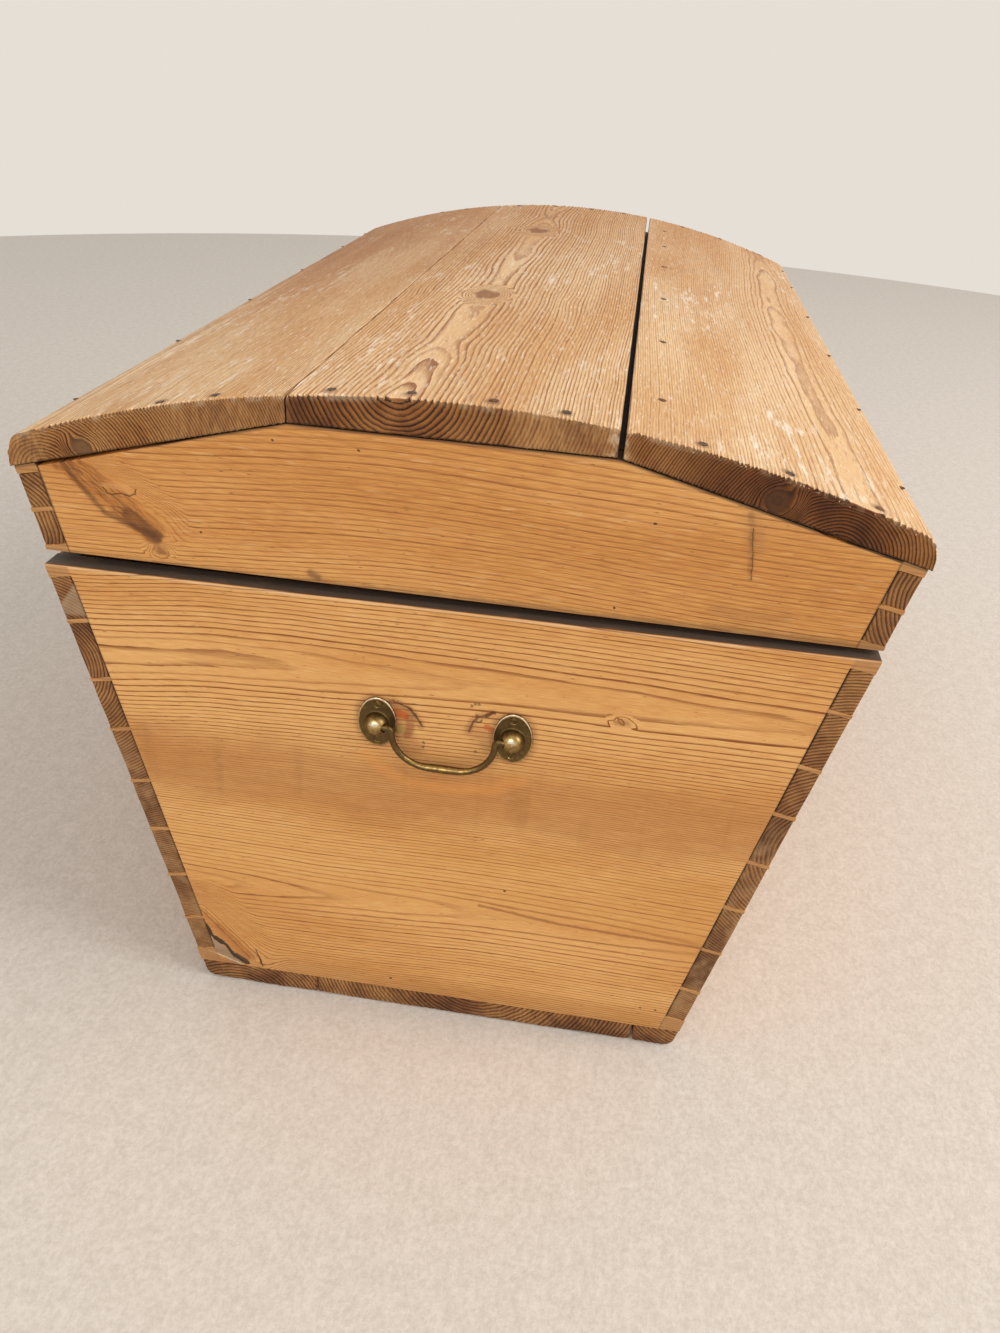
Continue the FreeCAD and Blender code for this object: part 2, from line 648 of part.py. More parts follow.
def lock_plate():
    """The plate that carries the lock, bent over the wall's top edge, and its nails."""
    middle = sum(lock_ends()) / 2
    inside = -half_width(CHEST_H) + WALL_LEVEL_T
    path = [(inside - LOCK_FLANGE_L, CHEST_H), (inside, CHEST_H),
            (inside + LOCK_PLATE_L * math.sin(LEAN), CHEST_H - LOCK_PLATE_L * math.cos(LEAN))]
    plate = band(path, LOCK_PLATE_T, middle - LOCK_PLATE_W / 2, middle + LOCK_PLATE_W / 2)
    nails = []
    for share in LOCK_NAIL_SHARES:
        for side in (-1, 1):
            x = middle + side * (LOCK_PLATE_W / 2 - LOCK_NAIL_EDGE)
            made = nail(STRAP_NAIL_L, STRAP_HEAD_R)
            nails.append(on_lock(drive(made, V(x, LOCK_PLATE_T, -share * LOCK_PLATE_L), -ACROSS)))
    return one_solid(plate.cut(nails + [keyhole()])), nails


def lock_case():
    """The case over the bolt, with the ledges that guide it and the post that the key turns on."""
    low_x, high_x = lock_ends()
    front = LOCK_PLATE_T + CASE_D
    top, bottom = -CASE_DROP, -CASE_DROP - CASE_H
    inside = front - CASE_SHEET
    case = block((low_x, high_x), (LOCK_PLATE_T, front), (bottom, top))
    case = case.cut(block((low_x + CASE_SHEET, high_x - CASE_SHEET), (LOCK_PLATE_T - OVER, inside),
                          (bottom + CASE_SHEET, top - CASE_SHEET)))
    play = LOOP_T / 2
    case = case.cut(block((LOOP_X - play, LOOP_X + LOOP_T + play), (LOCK_PLATE_T - OVER, inside),
                          (top - CASE_SHEET - OVER, top + OVER)))
    near = BOLT_IN - BOLT_T
    back = BOLT_IN + BOLT_T / 2 + SLIDE_CLEAR
    low_z = bolt_top() - BOLT_W - SLIDE_CLEAR
    ledges = [block((low_x, BOLT_RIGHT), (near, front), (bolt_top() + SLIDE_CLEAR, top)),
              block((low_x, BOLT_RIGHT + BOLT_THROW), (near, front), (low_z - LEDGE_W, low_z)),
              block((low_x, BOLT_RIGHT - BOLT_L / 2), (back, front), (low_z + TALON_H, bolt_top()))]
    post_y = LOCK_PLATE_T + KEY_POST_CLEAR
    post = Part.makeCylinder(KEY_POST_R, front - post_y, V(0, post_y, -KEY_DROP), ACROSS)
    return on_lock(one_solid(case.fuse(ledges + [post])))


def lock_bolt():
    """The bolt, drawn back: a plate with a tongue and the notch that the key works in."""
    span = (BOLT_IN - BOLT_T / 2, BOLT_IN + BOLT_T / 2)
    top = bolt_top()
    plate = block((BOLT_RIGHT - BOLT_L, BOLT_RIGHT), span, (top - BOLT_W, top))
    tongue = block((BOLT_RIGHT - OVER, BOLT_RIGHT + TONGUE_L), span, (top - TONGUE_W, top))
    right = BOLT_RIGHT - TALON_EDGE
    talon = block((right - TALON_W, right), (span[0] - OVER, span[1] + OVER),
                  (top - BOLT_W - OVER, top - BOLT_W + TALON_H))
    return on_lock(one_solid(plate.fuse(tongue).cut(talon)))


def escutcheon():
    """The oval plate round the keyhole, and its two pins."""
    plate = oval(ESCUTCHEON_W, ESCUTCHEON_H, ESCUTCHEON_T)
    plate.rotate(ORIGIN, ALONG, 90)
    plate.translate(V(0, -WALL_T, -KEY_DROP))
    plate = on_lock(plate)
    pins = []
    for side in (-1, 1):
        place = V(0, -WALL_T - ESCUTCHEON_T, -KEY_DROP + side * ESCUTCHEON_PIN_PITCH / 2)
        made = nail(ESCUTCHEON_PIN_L, ESCUTCHEON_HEAD_R, ESCUTCHEON_NAIL_W)
        pins.append(on_lock(drive(made, place, ACROSS)))
    return one_solid(plate.cut(pins + [keyhole()])), pins


def lid_catch():
    """The plate under the lid's front rail with the loop that the bolt enters, and its two screws."""
    inside = -half_width(CHEST_H) + WALL_LEVEL_T
    top = bolt_top()
    lean_on = FreeCAD.Rotation(ALONG, LEAN_DEG)
    tongue = lean_on.multVec(V(0, BOLT_IN, top - TONGUE_W / 2)) + V(0, inside, CHEST_H)
    axis = V(0, AXIS_Y, AXIS_Z)
    tongue = FreeCAD.Rotation(ALONG, LID_REST_DEG).multVec(tongue - axis) + axis
    lift = (AXIS_Y - inside) * math.sin(math.radians(LID_REST_DEG))
    plate_t = LID_GAP + lift - LOCK_PLATE_T - SLIDE_CLEAR
    hole_y = LOOP_PLAY + (BOLT_T * math.cos(LEAN) + TONGUE_W * math.sin(LEAN)) / 2
    hole_z = LOOP_PLAY + (TONGUE_W * math.cos(LEAN) + BOLT_T * math.sin(LEAN)) / 2
    low, high = tongue.y - hole_y - LOOP_BAR, tongue.y + hole_y + LOOP_BAR
    under = LID_BOTTOM_Z - plate_t
    plate = block((-CATCH_W / 2, CATCH_W / 2), (inside - LOCK_FLANGE_L, high), (under, LID_BOTTOM_Z))
    loop = block((LOOP_X, LOOP_X + LOOP_T), (low, high), (tongue.z - hole_z - LOOP_BAR, LID_BOTTOM_Z))
    eye = block((LOOP_X - OVER, LOOP_X + LOOP_T + OVER), (tongue.y - hole_y, tongue.y + hole_y),
                (tongue.z - hole_z, tongue.z + hole_z))
    stocks, screws = [], []
    for side in (-1, 1):
        place = V(side * CATCH_SCREW_SHARE * CATCH_W, inside - WALL_LEVEL_T / 2, under)
        for made, kept in zip(screw(CATCH_SCREW_L, CATCH_SCREW_R, CATCH_SCREW_HEAD_R), (stocks, screws)):
            kept.append(drive(made, place, UP))
    return one_solid(plate.fuse(loop).cut(stocks + [eye])), stocks, screws


# The pieces, each under its own name

front, back, right, left = chest_walls()
bottoms = bottom_boards()
foot_nails = bottom_nails()
lid_front, lid_back, lid_right, lid_left = lid_frame()
front_plank, middle_plank, back_plank = lid_planks()
end_nails, edge_nails, crack_nails = lid_end_nails(), rail_nails(), batten_nails()
chest_leaf, chest_leaf_nails = chest_strap()
lid_leaf, lid_leaf_nails = lid_strap()
pin = hinge_pin()
hinge_places = (-HINGE_X, HINGE_X)
chest_hinge_nails = [at_x(made, x) for made in chest_leaf_nails for x in hinge_places]
lid_hinge_nails = [at_x(made, x) for made in lid_leaf_nails for x in hinge_places]
back_rose, rose_stocks, rose_screws = rose_and_screws()
rose_stocks = rose_stocks + [flip_handle(made) for made in rose_stocks]
rose_screws = rose_screws + [flip_handle(made) for made in rose_screws]
right_bail = bail()
plate, plate_nails = lock_plate()
key_plate, key_plate_pins = escutcheon()
catch, catch_stocks, catch_screws = lid_catch()

top_nails = end_nails + edge_nails + crack_nails
right = one_solid(right.cut(foot_nails + rose_stocks))
pieces = {
    "front_board": one_solid(front.cut(foot_nails + plate_nails + key_plate_pins + [keyhole()])),
    "back_board": one_solid(back.cut(foot_nails + chest_hinge_nails)),
    "right_end_board": right,
    "left_end_board": flip_x(right),
    "bottom_front_board": one_solid(bottoms[0].cut(foot_nails)),
    "bottom_middle_board": one_solid(bottoms[1].cut(foot_nails)),
    "bottom_back_board": one_solid(bottoms[2].cut(foot_nails)),
    "bottom_nails": Part.makeCompound(foot_nails),
    "right_hinge_chest_strap": at_x(chest_leaf, HINGE_X),
    "left_hinge_chest_strap": at_x(chest_leaf, -HINGE_X),
    "right_hinge_pin": at_x(pin, HINGE_X),
    "left_hinge_pin": at_x(pin, -HINGE_X),
    "hinge_chest_nails": Part.makeCompound(chest_hinge_nails),
    "right_handle_back_rose": back_rose,
    "right_handle_front_rose": flip_handle(back_rose),
    "right_handle_screws": Part.makeCompound(rose_screws),
    "right_handle_bail": right_bail,
    "left_handle_back_rose": flip_x(back_rose),
    "left_handle_front_rose": flip_x(flip_handle(back_rose)),
    "left_handle_screws": flip_x(Part.makeCompound(rose_screws)),
    "left_handle_bail": flip_x(right_bail),
    "lock_plate": plate,
    "lock_plate_nails": Part.makeCompound(plate_nails),
    "lock_case": lock_case(),
    "lock_bolt": lock_bolt(),
    "keyhole_escutcheon": key_plate,
    "escutcheon_pins": Part.makeCompound(key_plate_pins),
}
lid_pieces = {
    "lid_front_rail": one_solid(lid_front.cut(top_nails + catch_stocks)),
    "lid_back_rail": one_solid(lid_back.cut(top_nails + lid_hinge_nails)),
    "lid_right_end_board": one_solid(lid_right.cut(top_nails)),
    "lid_left_end_board": one_solid(lid_left.cut(top_nails)),
    "lid_front_plank": one_solid(front_plank.cut(top_nails)),
    "lid_middle_plank": one_solid(middle_plank.cut(top_nails)),
    "lid_back_plank": one_solid(back_plank.cut(top_nails + lid_hinge_nails)),
    "lid_batten": one_solid(batten().cut(crack_nails)),
    "lid_end_nails": Part.makeCompound(end_nails),
    "lid_rail_nails": Part.makeCompound(edge_nails),
    "lid_batten_nails": Part.makeCompound(crack_nails),
    "right_hinge_lid_strap": at_x(lid_leaf, HINGE_X),
    "left_hinge_lid_strap": at_x(lid_leaf, -HINGE_X),
    "hinge_lid_nails": Part.makeCompound(lid_hinge_nails),
    "lid_catch": catch,
    "lid_catch_screws": Part.makeCompound(catch_screws),
}
pieces.update({name: rest(shape) for name, shape in lid_pieces.items()})

os.makedirs("parts", exist_ok=True)
for name, shape in pieces.items():
    shape.exportStep("parts/" + name + ".step")

print("pieces", len(pieces), "solids", sum(len(shape.Solids) for shape in pieces.values()))
print("hinge axis y z", round(AXIS_Y, 3), round(AXIS_Z, 3))
print("bail axis x z", CHEST_END_X + BAIL_OFF, HANDLE_Z)
print("bolt throw", BOLT_THROW)
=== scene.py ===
# %% [markdown]
# # An old pine trunk with a domed lid
# The trunk is joiner's work: boards with slim dovetails at the corners, three planks nailed over the lid's
# frame, and a brass handle on each end. The imported model already holds every piece in its place and at its
# size. This script gives those pieces their looks, so it loads the model first and keeps its box.

# %% Load the imported model
import itertools
import json
import math

import bpy
import numpy as np
from mathutils import Matrix, Vector

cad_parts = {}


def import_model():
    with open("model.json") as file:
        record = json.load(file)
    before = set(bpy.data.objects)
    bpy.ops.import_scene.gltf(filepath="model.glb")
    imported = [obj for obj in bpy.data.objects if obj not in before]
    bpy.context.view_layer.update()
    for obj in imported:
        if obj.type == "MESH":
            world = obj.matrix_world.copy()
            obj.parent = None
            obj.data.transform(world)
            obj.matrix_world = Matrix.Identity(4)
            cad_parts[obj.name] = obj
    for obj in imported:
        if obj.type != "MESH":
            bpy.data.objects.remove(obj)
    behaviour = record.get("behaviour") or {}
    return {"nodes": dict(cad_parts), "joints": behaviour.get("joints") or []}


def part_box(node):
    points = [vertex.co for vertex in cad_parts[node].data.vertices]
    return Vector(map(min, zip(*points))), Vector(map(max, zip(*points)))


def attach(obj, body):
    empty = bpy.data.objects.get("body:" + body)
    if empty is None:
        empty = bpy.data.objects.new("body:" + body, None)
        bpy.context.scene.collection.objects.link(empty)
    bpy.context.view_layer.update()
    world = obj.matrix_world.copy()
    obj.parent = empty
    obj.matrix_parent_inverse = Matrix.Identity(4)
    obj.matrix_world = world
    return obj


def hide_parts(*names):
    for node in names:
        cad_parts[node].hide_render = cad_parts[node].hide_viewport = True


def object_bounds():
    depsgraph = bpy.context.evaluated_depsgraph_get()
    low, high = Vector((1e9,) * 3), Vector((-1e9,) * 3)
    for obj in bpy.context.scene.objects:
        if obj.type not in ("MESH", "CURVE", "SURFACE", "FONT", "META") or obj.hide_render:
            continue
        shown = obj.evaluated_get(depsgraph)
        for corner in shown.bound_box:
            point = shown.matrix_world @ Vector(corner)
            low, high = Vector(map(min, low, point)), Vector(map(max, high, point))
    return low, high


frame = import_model()
cad_box = [list(corner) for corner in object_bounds()]
print("nodes", len(frame["nodes"]), "box", [[round(v, 4) for v in corner] for corner in cad_box])

# %% [markdown]
# ## The camera
# The photograph looks down on one end of the trunk from close by. Its lens, height and turn were worked out
# from the edges of the boards. A camera can be turned with Euler angles, but a product of three turns says
# the same in the order in which a photographer would do it: face along the trunk, look down, then tip the
# camera a little.

# %% Place the camera
CAMERA_PLACE = Vector((1.163, 0.110, 0.7825))
CAMERA_TURN = math.radians(6.185)
CAMERA_TILT = math.radians(31.551)
CAMERA_ROLL = math.radians(3.700)
PHOTO_H_PX = 1333
FOCAL_PX = 1001

camera_data = bpy.data.cameras.new("camera")
camera_data.lens = FOCAL_PX / PHOTO_H_PX * camera_data.sensor_width
camera = bpy.data.objects.new("camera", camera_data)
camera.matrix_world = (Matrix.Translation(CAMERA_PLACE)
                       @ Matrix.Rotation(math.pi / 2 + CAMERA_TURN, 4, "Z")
                       @ Matrix.Rotation(math.pi / 2 - CAMERA_TILT, 4, "X")
                       @ Matrix.Rotation(CAMERA_ROLL, 4, "Z"))
scene = bpy.context.scene
scene.collection.objects.link(camera)
scene.camera = camera
scene.view_settings.view_transform = "Standard"
print("lens", round(camera_data.lens, 2), "mm")

# %% [markdown]
# ## Sums on sockets
# A wood or brass finish needs a good deal of arithmetic, and a Math node for each sum is slow to place by
# hand. The class below wraps a socket, so that an ordinary Python expression adds the Math nodes. Every other
# node comes from one function that takes the node's type, its settings, and what goes into its sockets.

# %% Nodes from expressions
def find_socket(sockets, key):
    """A socket by its number, its name or its identifier."""
    if isinstance(key, int):
        return sockets[key]
    for socket in sockets:
        if key in (socket.name, socket.identifier):
            return socket
    raise KeyError(key)


def add_node(tree, kind, settings, inputs, output=0):
    """Adds a node and gives one of its outputs, wrapped, or the node itself if output is None."""
    node = tree.nodes.new("ShaderNode" + kind)
    for name, value in settings.items():
        setattr(node, name, value)
    for key, value in inputs.items():
        socket = find_socket(node.inputs, key)
        if isinstance(value, Wire):
            tree.links.new(value.socket, socket)
        else:
            socket.default_value = value
    return node if output is None else Wire(find_socket(node.outputs, output))


class Wire:
    """An output socket that Python's operators work on."""

    def __init__(self, socket):
        self.socket = socket
        self.tree = socket.id_data

    def math(self, operation, *values):
        return add_node(self.tree, "Math", {"operation": operation}, dict(enumerate(values)))

    def __add__(self, other):
        return self.math("ADD", self, other)

    def __radd__(self, other):
        return self.math("ADD", other, self)

    def __sub__(self, other):
        return self.math("SUBTRACT", self, other)

    def __rsub__(self, other):
        return self.math("SUBTRACT", other, self)

    def __mul__(self, other):
        return self.math("MULTIPLY", self, other)

    def __rmul__(self, other):
        return self.math("MULTIPLY", other, self)

    def __abs__(self):
        return self.math("ABSOLUTE", self)

    def most(self, other):
        return self.math("MAXIMUM", self, other)

    def least(self, other):
        return self.math("MINIMUM", self, other)

    def whole(self):
        return self.math("FLOOR", self)

    def part(self):
        return self.math("FRACT", self)

    def rise(self, low, high):
        """0 below low, 1 above high and smooth between. With low above high it falls instead."""
        start, end = (0.0, 1.0) if low < high else (1.0, 0.0)
        low, high = min(low, high), max(low, high)
        return add_node(self.tree, "MapRange", {"interpolation_type": "SMOOTHSTEP"},
                        {"Value": self, "From Min": low, "From Max": high, "To Min": start, "To Max": end})


def colour(text):
    """A colour for a socket, from the six hex digits of a screen colour."""
    screen = [int(text[i:i + 2], 16) / 255 for i in (0, 2, 4)]
    return [v / 12.92 if v < 0.04045 else ((v + 0.055) / 1.055) ** 2.4 for v in screen] + [1.0]


def mix(factor, first, second, blend="MIX"):
    """Blends two colours, each a wire or six hex digits, where the factor is a wire."""
    first, second = (colour(tone) if isinstance(tone, str) else tone for tone in (first, second))
    return add_node(factor.tree, "Mix", {"data_type": "RGBA", "blend_type": blend},
                    {"Factor_Float": factor, "A_Color": first, "B_Color": second}, "Result_Color")


def lay(base, *coats):
    """Lays coats over a colour in turn. Each has its factor, its tone and, where it isn't plain, its blend."""
    for factor, tone, *blend in coats:
        base = mix(factor, base, tone, *blend)
    return base


print("nodes come from expressions")

# %% [markdown]
# ## Places and noise on a surface
# A finish follows the object: where a spot is, which way it faces, and what the mesh keeps for its points.
# The Object output of Texture Coordinate stays with a piece when it moves, so a lid's marks turn with the
# lid. A noise texture looks the same in all directions, so its vector is scaled on each axis first, and it
# turns into fibres.

# %% Places, stored values and noise
def vector_math(operation, first, second, output="Vector"):
    """A Vector Math node on a wire and a wire or plain numbers."""
    return add_node(first.tree, "VectorMath", {"operation": operation}, {0: first, 1: second}, output)


def stretch(vector, scale):
    """A vector with each of its axes scaled."""
    return vector_math("MULTIPLY", vector, scale)


def axis_of(vector, axis):
    """One axis of a vector, as a number."""
    return add_node(vector.tree, "SeparateXYZ", {}, {0: vector}, axis)


def spot(tree):
    """Where a spot is in its object's own space."""
    return add_node(tree, "TexCoord", {}, {}, "Object")


def facing(tree, axis):
    """How far a spot faces along one of its object's axes, from -1 to 1."""
    return axis_of(add_node(tree, "TexCoord", {}, {}, "Normal"), axis)


def on_right_end(tree):
    """1 where a spot faces out of the trunk's right end."""
    return facing(tree, "X").rise(0.6, 0.9)


def stored(tree, name, output="Fac"):
    """What the mesh keeps for its points under a name."""
    return add_node(tree, "Attribute", {"attribute_name": name}, {}, output)


def cloud(vector, scale, detail=2.0, roughness=0.5):
    """Noise from 0 to 1 at a vector, with one scale or one for each axis."""
    scale = scale if isinstance(scale, tuple) else (scale,) * 3
    return add_node(vector.tree, "TexNoise", {}, {"Vector": stretch(vector, scale), "Scale": 1.0,
                                                  "Detail": detail, "Roughness": roughness}, "Fac")


def new_material(name):
    """A material without nodes, and its node tree."""
    material = bpy.data.materials.new(name)
    material.use_nodes = True
    material.node_tree.nodes.clear()
    return material, material.node_tree


def finish_material(tree, inputs, height, strength, distance):
    """Adds the shader with its inputs, a bump from a height, and the output."""
    bump = add_node(tree, "Bump", {}, {"Strength": strength, "Distance": distance, "Height": height})
    shader = add_node(tree, "BsdfPrincipled", {}, {**inputs, "Normal": bump})
    add_node(tree, "OutputMaterial", {}, {"Surface": shader}, None)


print("helpers for surfaces are ready")

# %% [markdown]
# ## Floor and light
# A product photographer's sweep is one pale sheet lit from all sides. Here the floor is a wide disc, and the
# world shows a pale tone behind it to the camera and to the brass, while its real light stays at a plain
# level. The daylight comes from a large lamp beyond the back edge, so the trunk's soft shadow falls to the
# front. A second, weaker lamp lights the end that faces the camera.

# %% Floor, world and lamps
FLOOR_R = 4.0
FLOOR_SIDES = 96
FLOOR_TONES = ("cbc2b7", "dfd7ce")
BACKDROP_TONE = "e6dfd6"
WORLD_TONE = "fffdfa"
WORLD_LIGHT = 0.66
FLOOR_BUMP = (0.35, 0.002)

floor_mesh = bpy.data.meshes.new("floor")
turns = np.linspace(0, 2 * math.pi, FLOOR_SIDES, endpoint=False)
floor_mesh.from_pydata([(FLOOR_R * math.cos(a), FLOOR_R * math.sin(a), 0.0) for a in turns], [],
                       [list(range(FLOOR_SIDES))])
floor = bpy.data.objects.new("floor", floor_mesh)
floor.location.z = cad_box[0][2]
scene.collection.objects.link(floor)
floor_material, tree = new_material("pale_floor")
tufts = cloud(spot(tree), 190.0, 4.0, 0.75)
patches = cloud(spot(tree), 60.0, 3.0, 0.6)
pile = mix((patches * 0.3 + tufts * 0.7).rise(0.32, 0.68), *FLOOR_TONES)
finish_material(tree, {"Base Color": pile, "Roughness": 0.95}, tufts, *FLOOR_BUMP)
floor_mesh.materials.append(floor_material)

world = bpy.data.worlds.new("studio")
scene.world = world
world.use_nodes = True
tree = world.node_tree
tree.nodes.clear()
path = add_node(tree, "LightPath", {}, {}, None)
camera_ray, glossy_ray, clear_ray = (Wire(path.outputs["Is " + kind + " Ray"])
                                     for kind in ("Camera", "Glossy", "Transmission"))
light = add_node(tree, "Background", {}, {"Color": colour(WORLD_TONE), "Strength": WORLD_LIGHT})
shown = add_node(tree, "Background", {}, {"Color": colour(BACKDROP_TONE), "Strength": 1.0})
both = add_node(tree, "MixShader", {}, {0: camera_ray.most(glossy_ray).most(clear_ray), 1: light, 2: shown})
add_node(tree, "OutputWorld", {}, {"Surface": both}, None)


def lamp(name, place, target, size, watts, tone):
    """A square area lamp that points at a place."""
    data = bpy.data.lights.new(name, "AREA")
    data.size = size
    data.energy = watts
    data.color = colour(tone)[:3]
    made = bpy.data.objects.new(name, data)
    way = Vector(target) - Vector(place)
    made.matrix_world = Matrix.Translation(place) @ way.to_track_quat("-Z", "Y").to_matrix().to_4x4()
    scene.collection.objects.link(made)


LAMPS = (("daylight", (0.9, 4.3, 3.3), (0.1, 0.0, 0.2), 3.0, 175.0, "fffaf4"),
         ("front", (4.6, -0.8, 2.6), (0.3, 0.0, 0.3), 2.4, 62.0, "fffdf8"))
for one in LAMPS:
    lamp(*one)
print("floor, world and", len(LAMPS), "lamps")

# %% [markdown]
# ## Measures
# The boards are rebuilt with worn edges, so the script needs the trunk's main lines: how wide the walls stand
# at each height, and the section of the dome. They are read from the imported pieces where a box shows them,
# and the few sizes of the lid that a box can't show are named here.

# %% Read the trunk's measures
def low(node):
    """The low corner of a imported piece's box."""
    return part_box(node)[0]


def high(node):
    """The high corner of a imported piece's box."""
    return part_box(node)[1]


END_BOARD_T = 0.020
LID_GAP = 0.0045
NOSE_LIFT = 0.064
FLAT_LIFT = 0.1187
CROWN_LIFT = 0.027

CHEST_END = high("front_board").x
CHEST_TOP = high("front_board").z
BOTTOM_TOP = low("front_board").z
END_IN = low("right_end_board").x
WALL_TOP_Y = -low("front_board").y
WALL_FOOT_Y = -low("bottom_front_board").y
WALL_LEVEL_T = WALL_FOOT_Y + high("front_board").y
WALL_TAN = (WALL_TOP_Y - WALL_FOOT_Y) / (CHEST_TOP - BOTTOM_TOP)
LEAN = math.atan(WALL_TAN)
WALL_T = WALL_LEVEL_T * math.cos(LEAN)
LID_END = high("lid_middle_plank").x
LID_END_IN = LID_END - END_BOARD_T
LID_BOTTOM = CHEST_TOP + LID_GAP
NOSE_LOW = LID_BOTTOM + NOSE_LIFT
LID_FLAT = LID_BOTTOM + FLAT_LIFT
CROWN = LID_FLAT + CROWN_LIFT
NOSE_Y = 0.327
NOSE_R = 0.018
DOME_SAG = 0.0594
DOME_R = (NOSE_Y ** 2 + DOME_SAG ** 2) / (2 * DOME_SAG)
FRONT_SEAM = (-0.1177, -0.1167)
BACK_SEAM = (0.1085, 0.1125)
SEAM_Y = (0.1172, 0.1105)
REST_ANGLE = math.radians(0.37)
HINGE = Vector(next(joint["pos_m"] for joint in frame["joints"] if joint["name"] == "lid_hinge"))


def half_width(z):
    """Half the outer width of the leaning walls at a height."""
    return WALL_TOP_Y - (CHEST_TOP - z) * WALL_TAN


def under_planks(y):
    """Height of the planks' underside: flat in the middle, with a slope down to each nose."""
    y = np.asarray(y, float)
    seam = np.where(y < 0, SEAM_Y[0], SEAM_Y[1])
    fall = (np.abs(y) - seam) / (NOSE_Y - seam) * (LID_FLAT - NOSE_LOW)
    return LID_FLAT - np.maximum(fall, 0.0)


def over_planks(y):
    """Height of the dome."""
    return CROWN - DOME_R + np.sqrt(DOME_R ** 2 - np.asarray(y, float) ** 2)


def rest_lid(points):
    """Turns points of the lid about the hinge to where the lid rests."""
    y, z = points[:, 1] - HINGE.y, points[:, 2] - HINGE.z
    c, s = math.cos(REST_ANGLE), math.sin(REST_ANGLE)
    return np.stack([points[:, 0], HINGE.y + c * y + s * z, HINGE.z - s * y + c * z], 1)


print("lean", round(math.degrees(LEAN), 2), "deg, walls", round(WALL_T * 1000, 2), "mm, dome radius",
      round(DOME_R, 4))

# %% [markdown]
# ## Noise that stays the same
# Old boards are uneven in ways that a formula alone doesn't give: edges are chipped, rings wander. Noise from
# a table of seeded random numbers, eased between its cells, is random to the eye and the same on every run.

# %% A small noise function
NOISE_CELLS = 32
NOISE_TABLE = np.random.default_rng(11).uniform(-1, 1, (NOISE_CELLS,) * 3)


def noise(a, b=0.0, c=0.0, seed=0):
    """Smooth noise from -1 to 1 at points given in cells."""
    corners, shares = [], []
    for place, shift in zip(np.broadcast_arrays(a, b, c), (5.3, 9.1, 13.7)):
        place = place + seed * shift
        start = np.floor(place)
        corners.append(start.astype(int))
        share = place - start
        shares.append(share * share * (3 - 2 * share))
    total = 0.0
    for step in itertools.product((0, 1), repeat=3):
        weight, index = 1.0, []
        for one, corner, share in zip(step, corners, shares):
            weight = weight * (share if one else 1 - share)
            index.append((corner + one) % NOISE_CELLS)
        total = total + weight * NOISE_TABLE[tuple(index)]
    return total


def ease(value, start, end):
    """0 before start, 1 after end and smooth between, for arrays."""
    share = np.clip((value - start) / (end - start), 0, 1)
    return share * share * (3 - 2 * share)


def glide(value, *stops):
    """A curve that eases from one (place, height) to the next."""
    places = np.array([stop[0] for stop in stops])
    heights = np.array([stop[1] for stop in stops])
    value = np.clip(value, places[0], places[-1])
    slot = np.clip(np.searchsorted(places, value) - 1, 0, len(places) - 2)
    share = (value - places[slot]) / (places[slot + 1] - places[slot])
    return heights[slot] + (heights[slot + 1] - heights[slot]) * share * share * (3 - 2 * share)


print("noise table", NOISE_TABLE.shape)

# %% [markdown]
# ## Growth rings
# A board's figure is a cut through the tree's rings. Painted lines never agree from face to face, so here
# each board keeps its place in a real log: the rings are counted outwards from the pith, and the same count
# on the top, the edge and the end gives lines that run over the edges as they do in wood. The pith wanders
# along the board, which is what makes the pointed arches of a flat-sawn face, and a knot bends the rings
# round itself.

# %% Count the rings
KNOT_PULL = (0.7, 2.6)
KNOT_EDGE = (0.75, 1.15)
KNOT_RAGGED = 0.35


def rings(across, through, pith_across, pith_through, width, tighten=0.4):
    """How many rings lie between the pith and a point. They get narrower outwards."""
    reach = np.hypot(across - pith_across, through - pith_through)
    return tighten / width * (np.exp(reach / tighten) - 1)


def knots_in(count, along, across, knots):
    """Bends the rings round knots, and gives the count and how far into a knot each point lies."""
    inside = np.zeros_like(count)
    for place_along, place_across, size, stretched, wraps in knots:
        away = np.hypot((along - place_along) / stretched, across - place_across) / size
        nearest = np.argmin(away)
        pull = 1 - ease(away, *KNOT_PULL)
        count = count * (1 - pull) + pull * (count[nearest] + wraps * away)
        uneven = 1 + KNOT_RAGGED * noise((along - place_along) / size, (across - place_across) / size * 1.4,
                                         seed=7)
        inside = np.maximum(inside, 1 - ease(away * uneven, *KNOT_EDGE))
    return count, inside


def along_split(count, along, across, start, end, reach, width):
    """Bends the rings so that they follow a split on its upper side, this far from it."""
    way = np.array(end) - np.array(start)
    share = np.clip(((along - start[0]) * way[0] + (across - start[1]) * way[1]) / (way @ way), 0, 1)
    off_along, off_across = along - start[0] - share * way[0], across - start[1] - share * way[1]
    away = np.hypot(off_along, off_across)
    upper = way[0] * off_across - way[1] * off_along > 0
    pull = (1 - ease(away, 0.1 * reach, reach)) * upper
    nearest = np.argmin(np.hypot(along - end[0], across - end[1]))
    return count * (1 - pull) + pull * (count[nearest] + away / width)


def swirls_in(count, along, across, swirls):
    """Adds small bends where a branch runs close under the face."""
    for place_along, place_across, reach_along, reach_across, amount in swirls:
        count = count + amount * np.exp(-((along - place_along) / reach_along) ** 2
                                        - ((across - place_across) / reach_across) ** 2)
    return count


def wander(along, across, through, seed, amount=1.0):
    """The small unevenness that all rings have."""
    return amount * (0.55 * noise(along / 0.16, across / 0.05, through / 0.05, seed)
                     + 0.22 * noise(along / 0.045, across / 0.016, through / 0.016, seed + 1))


print("ring functions are ready")

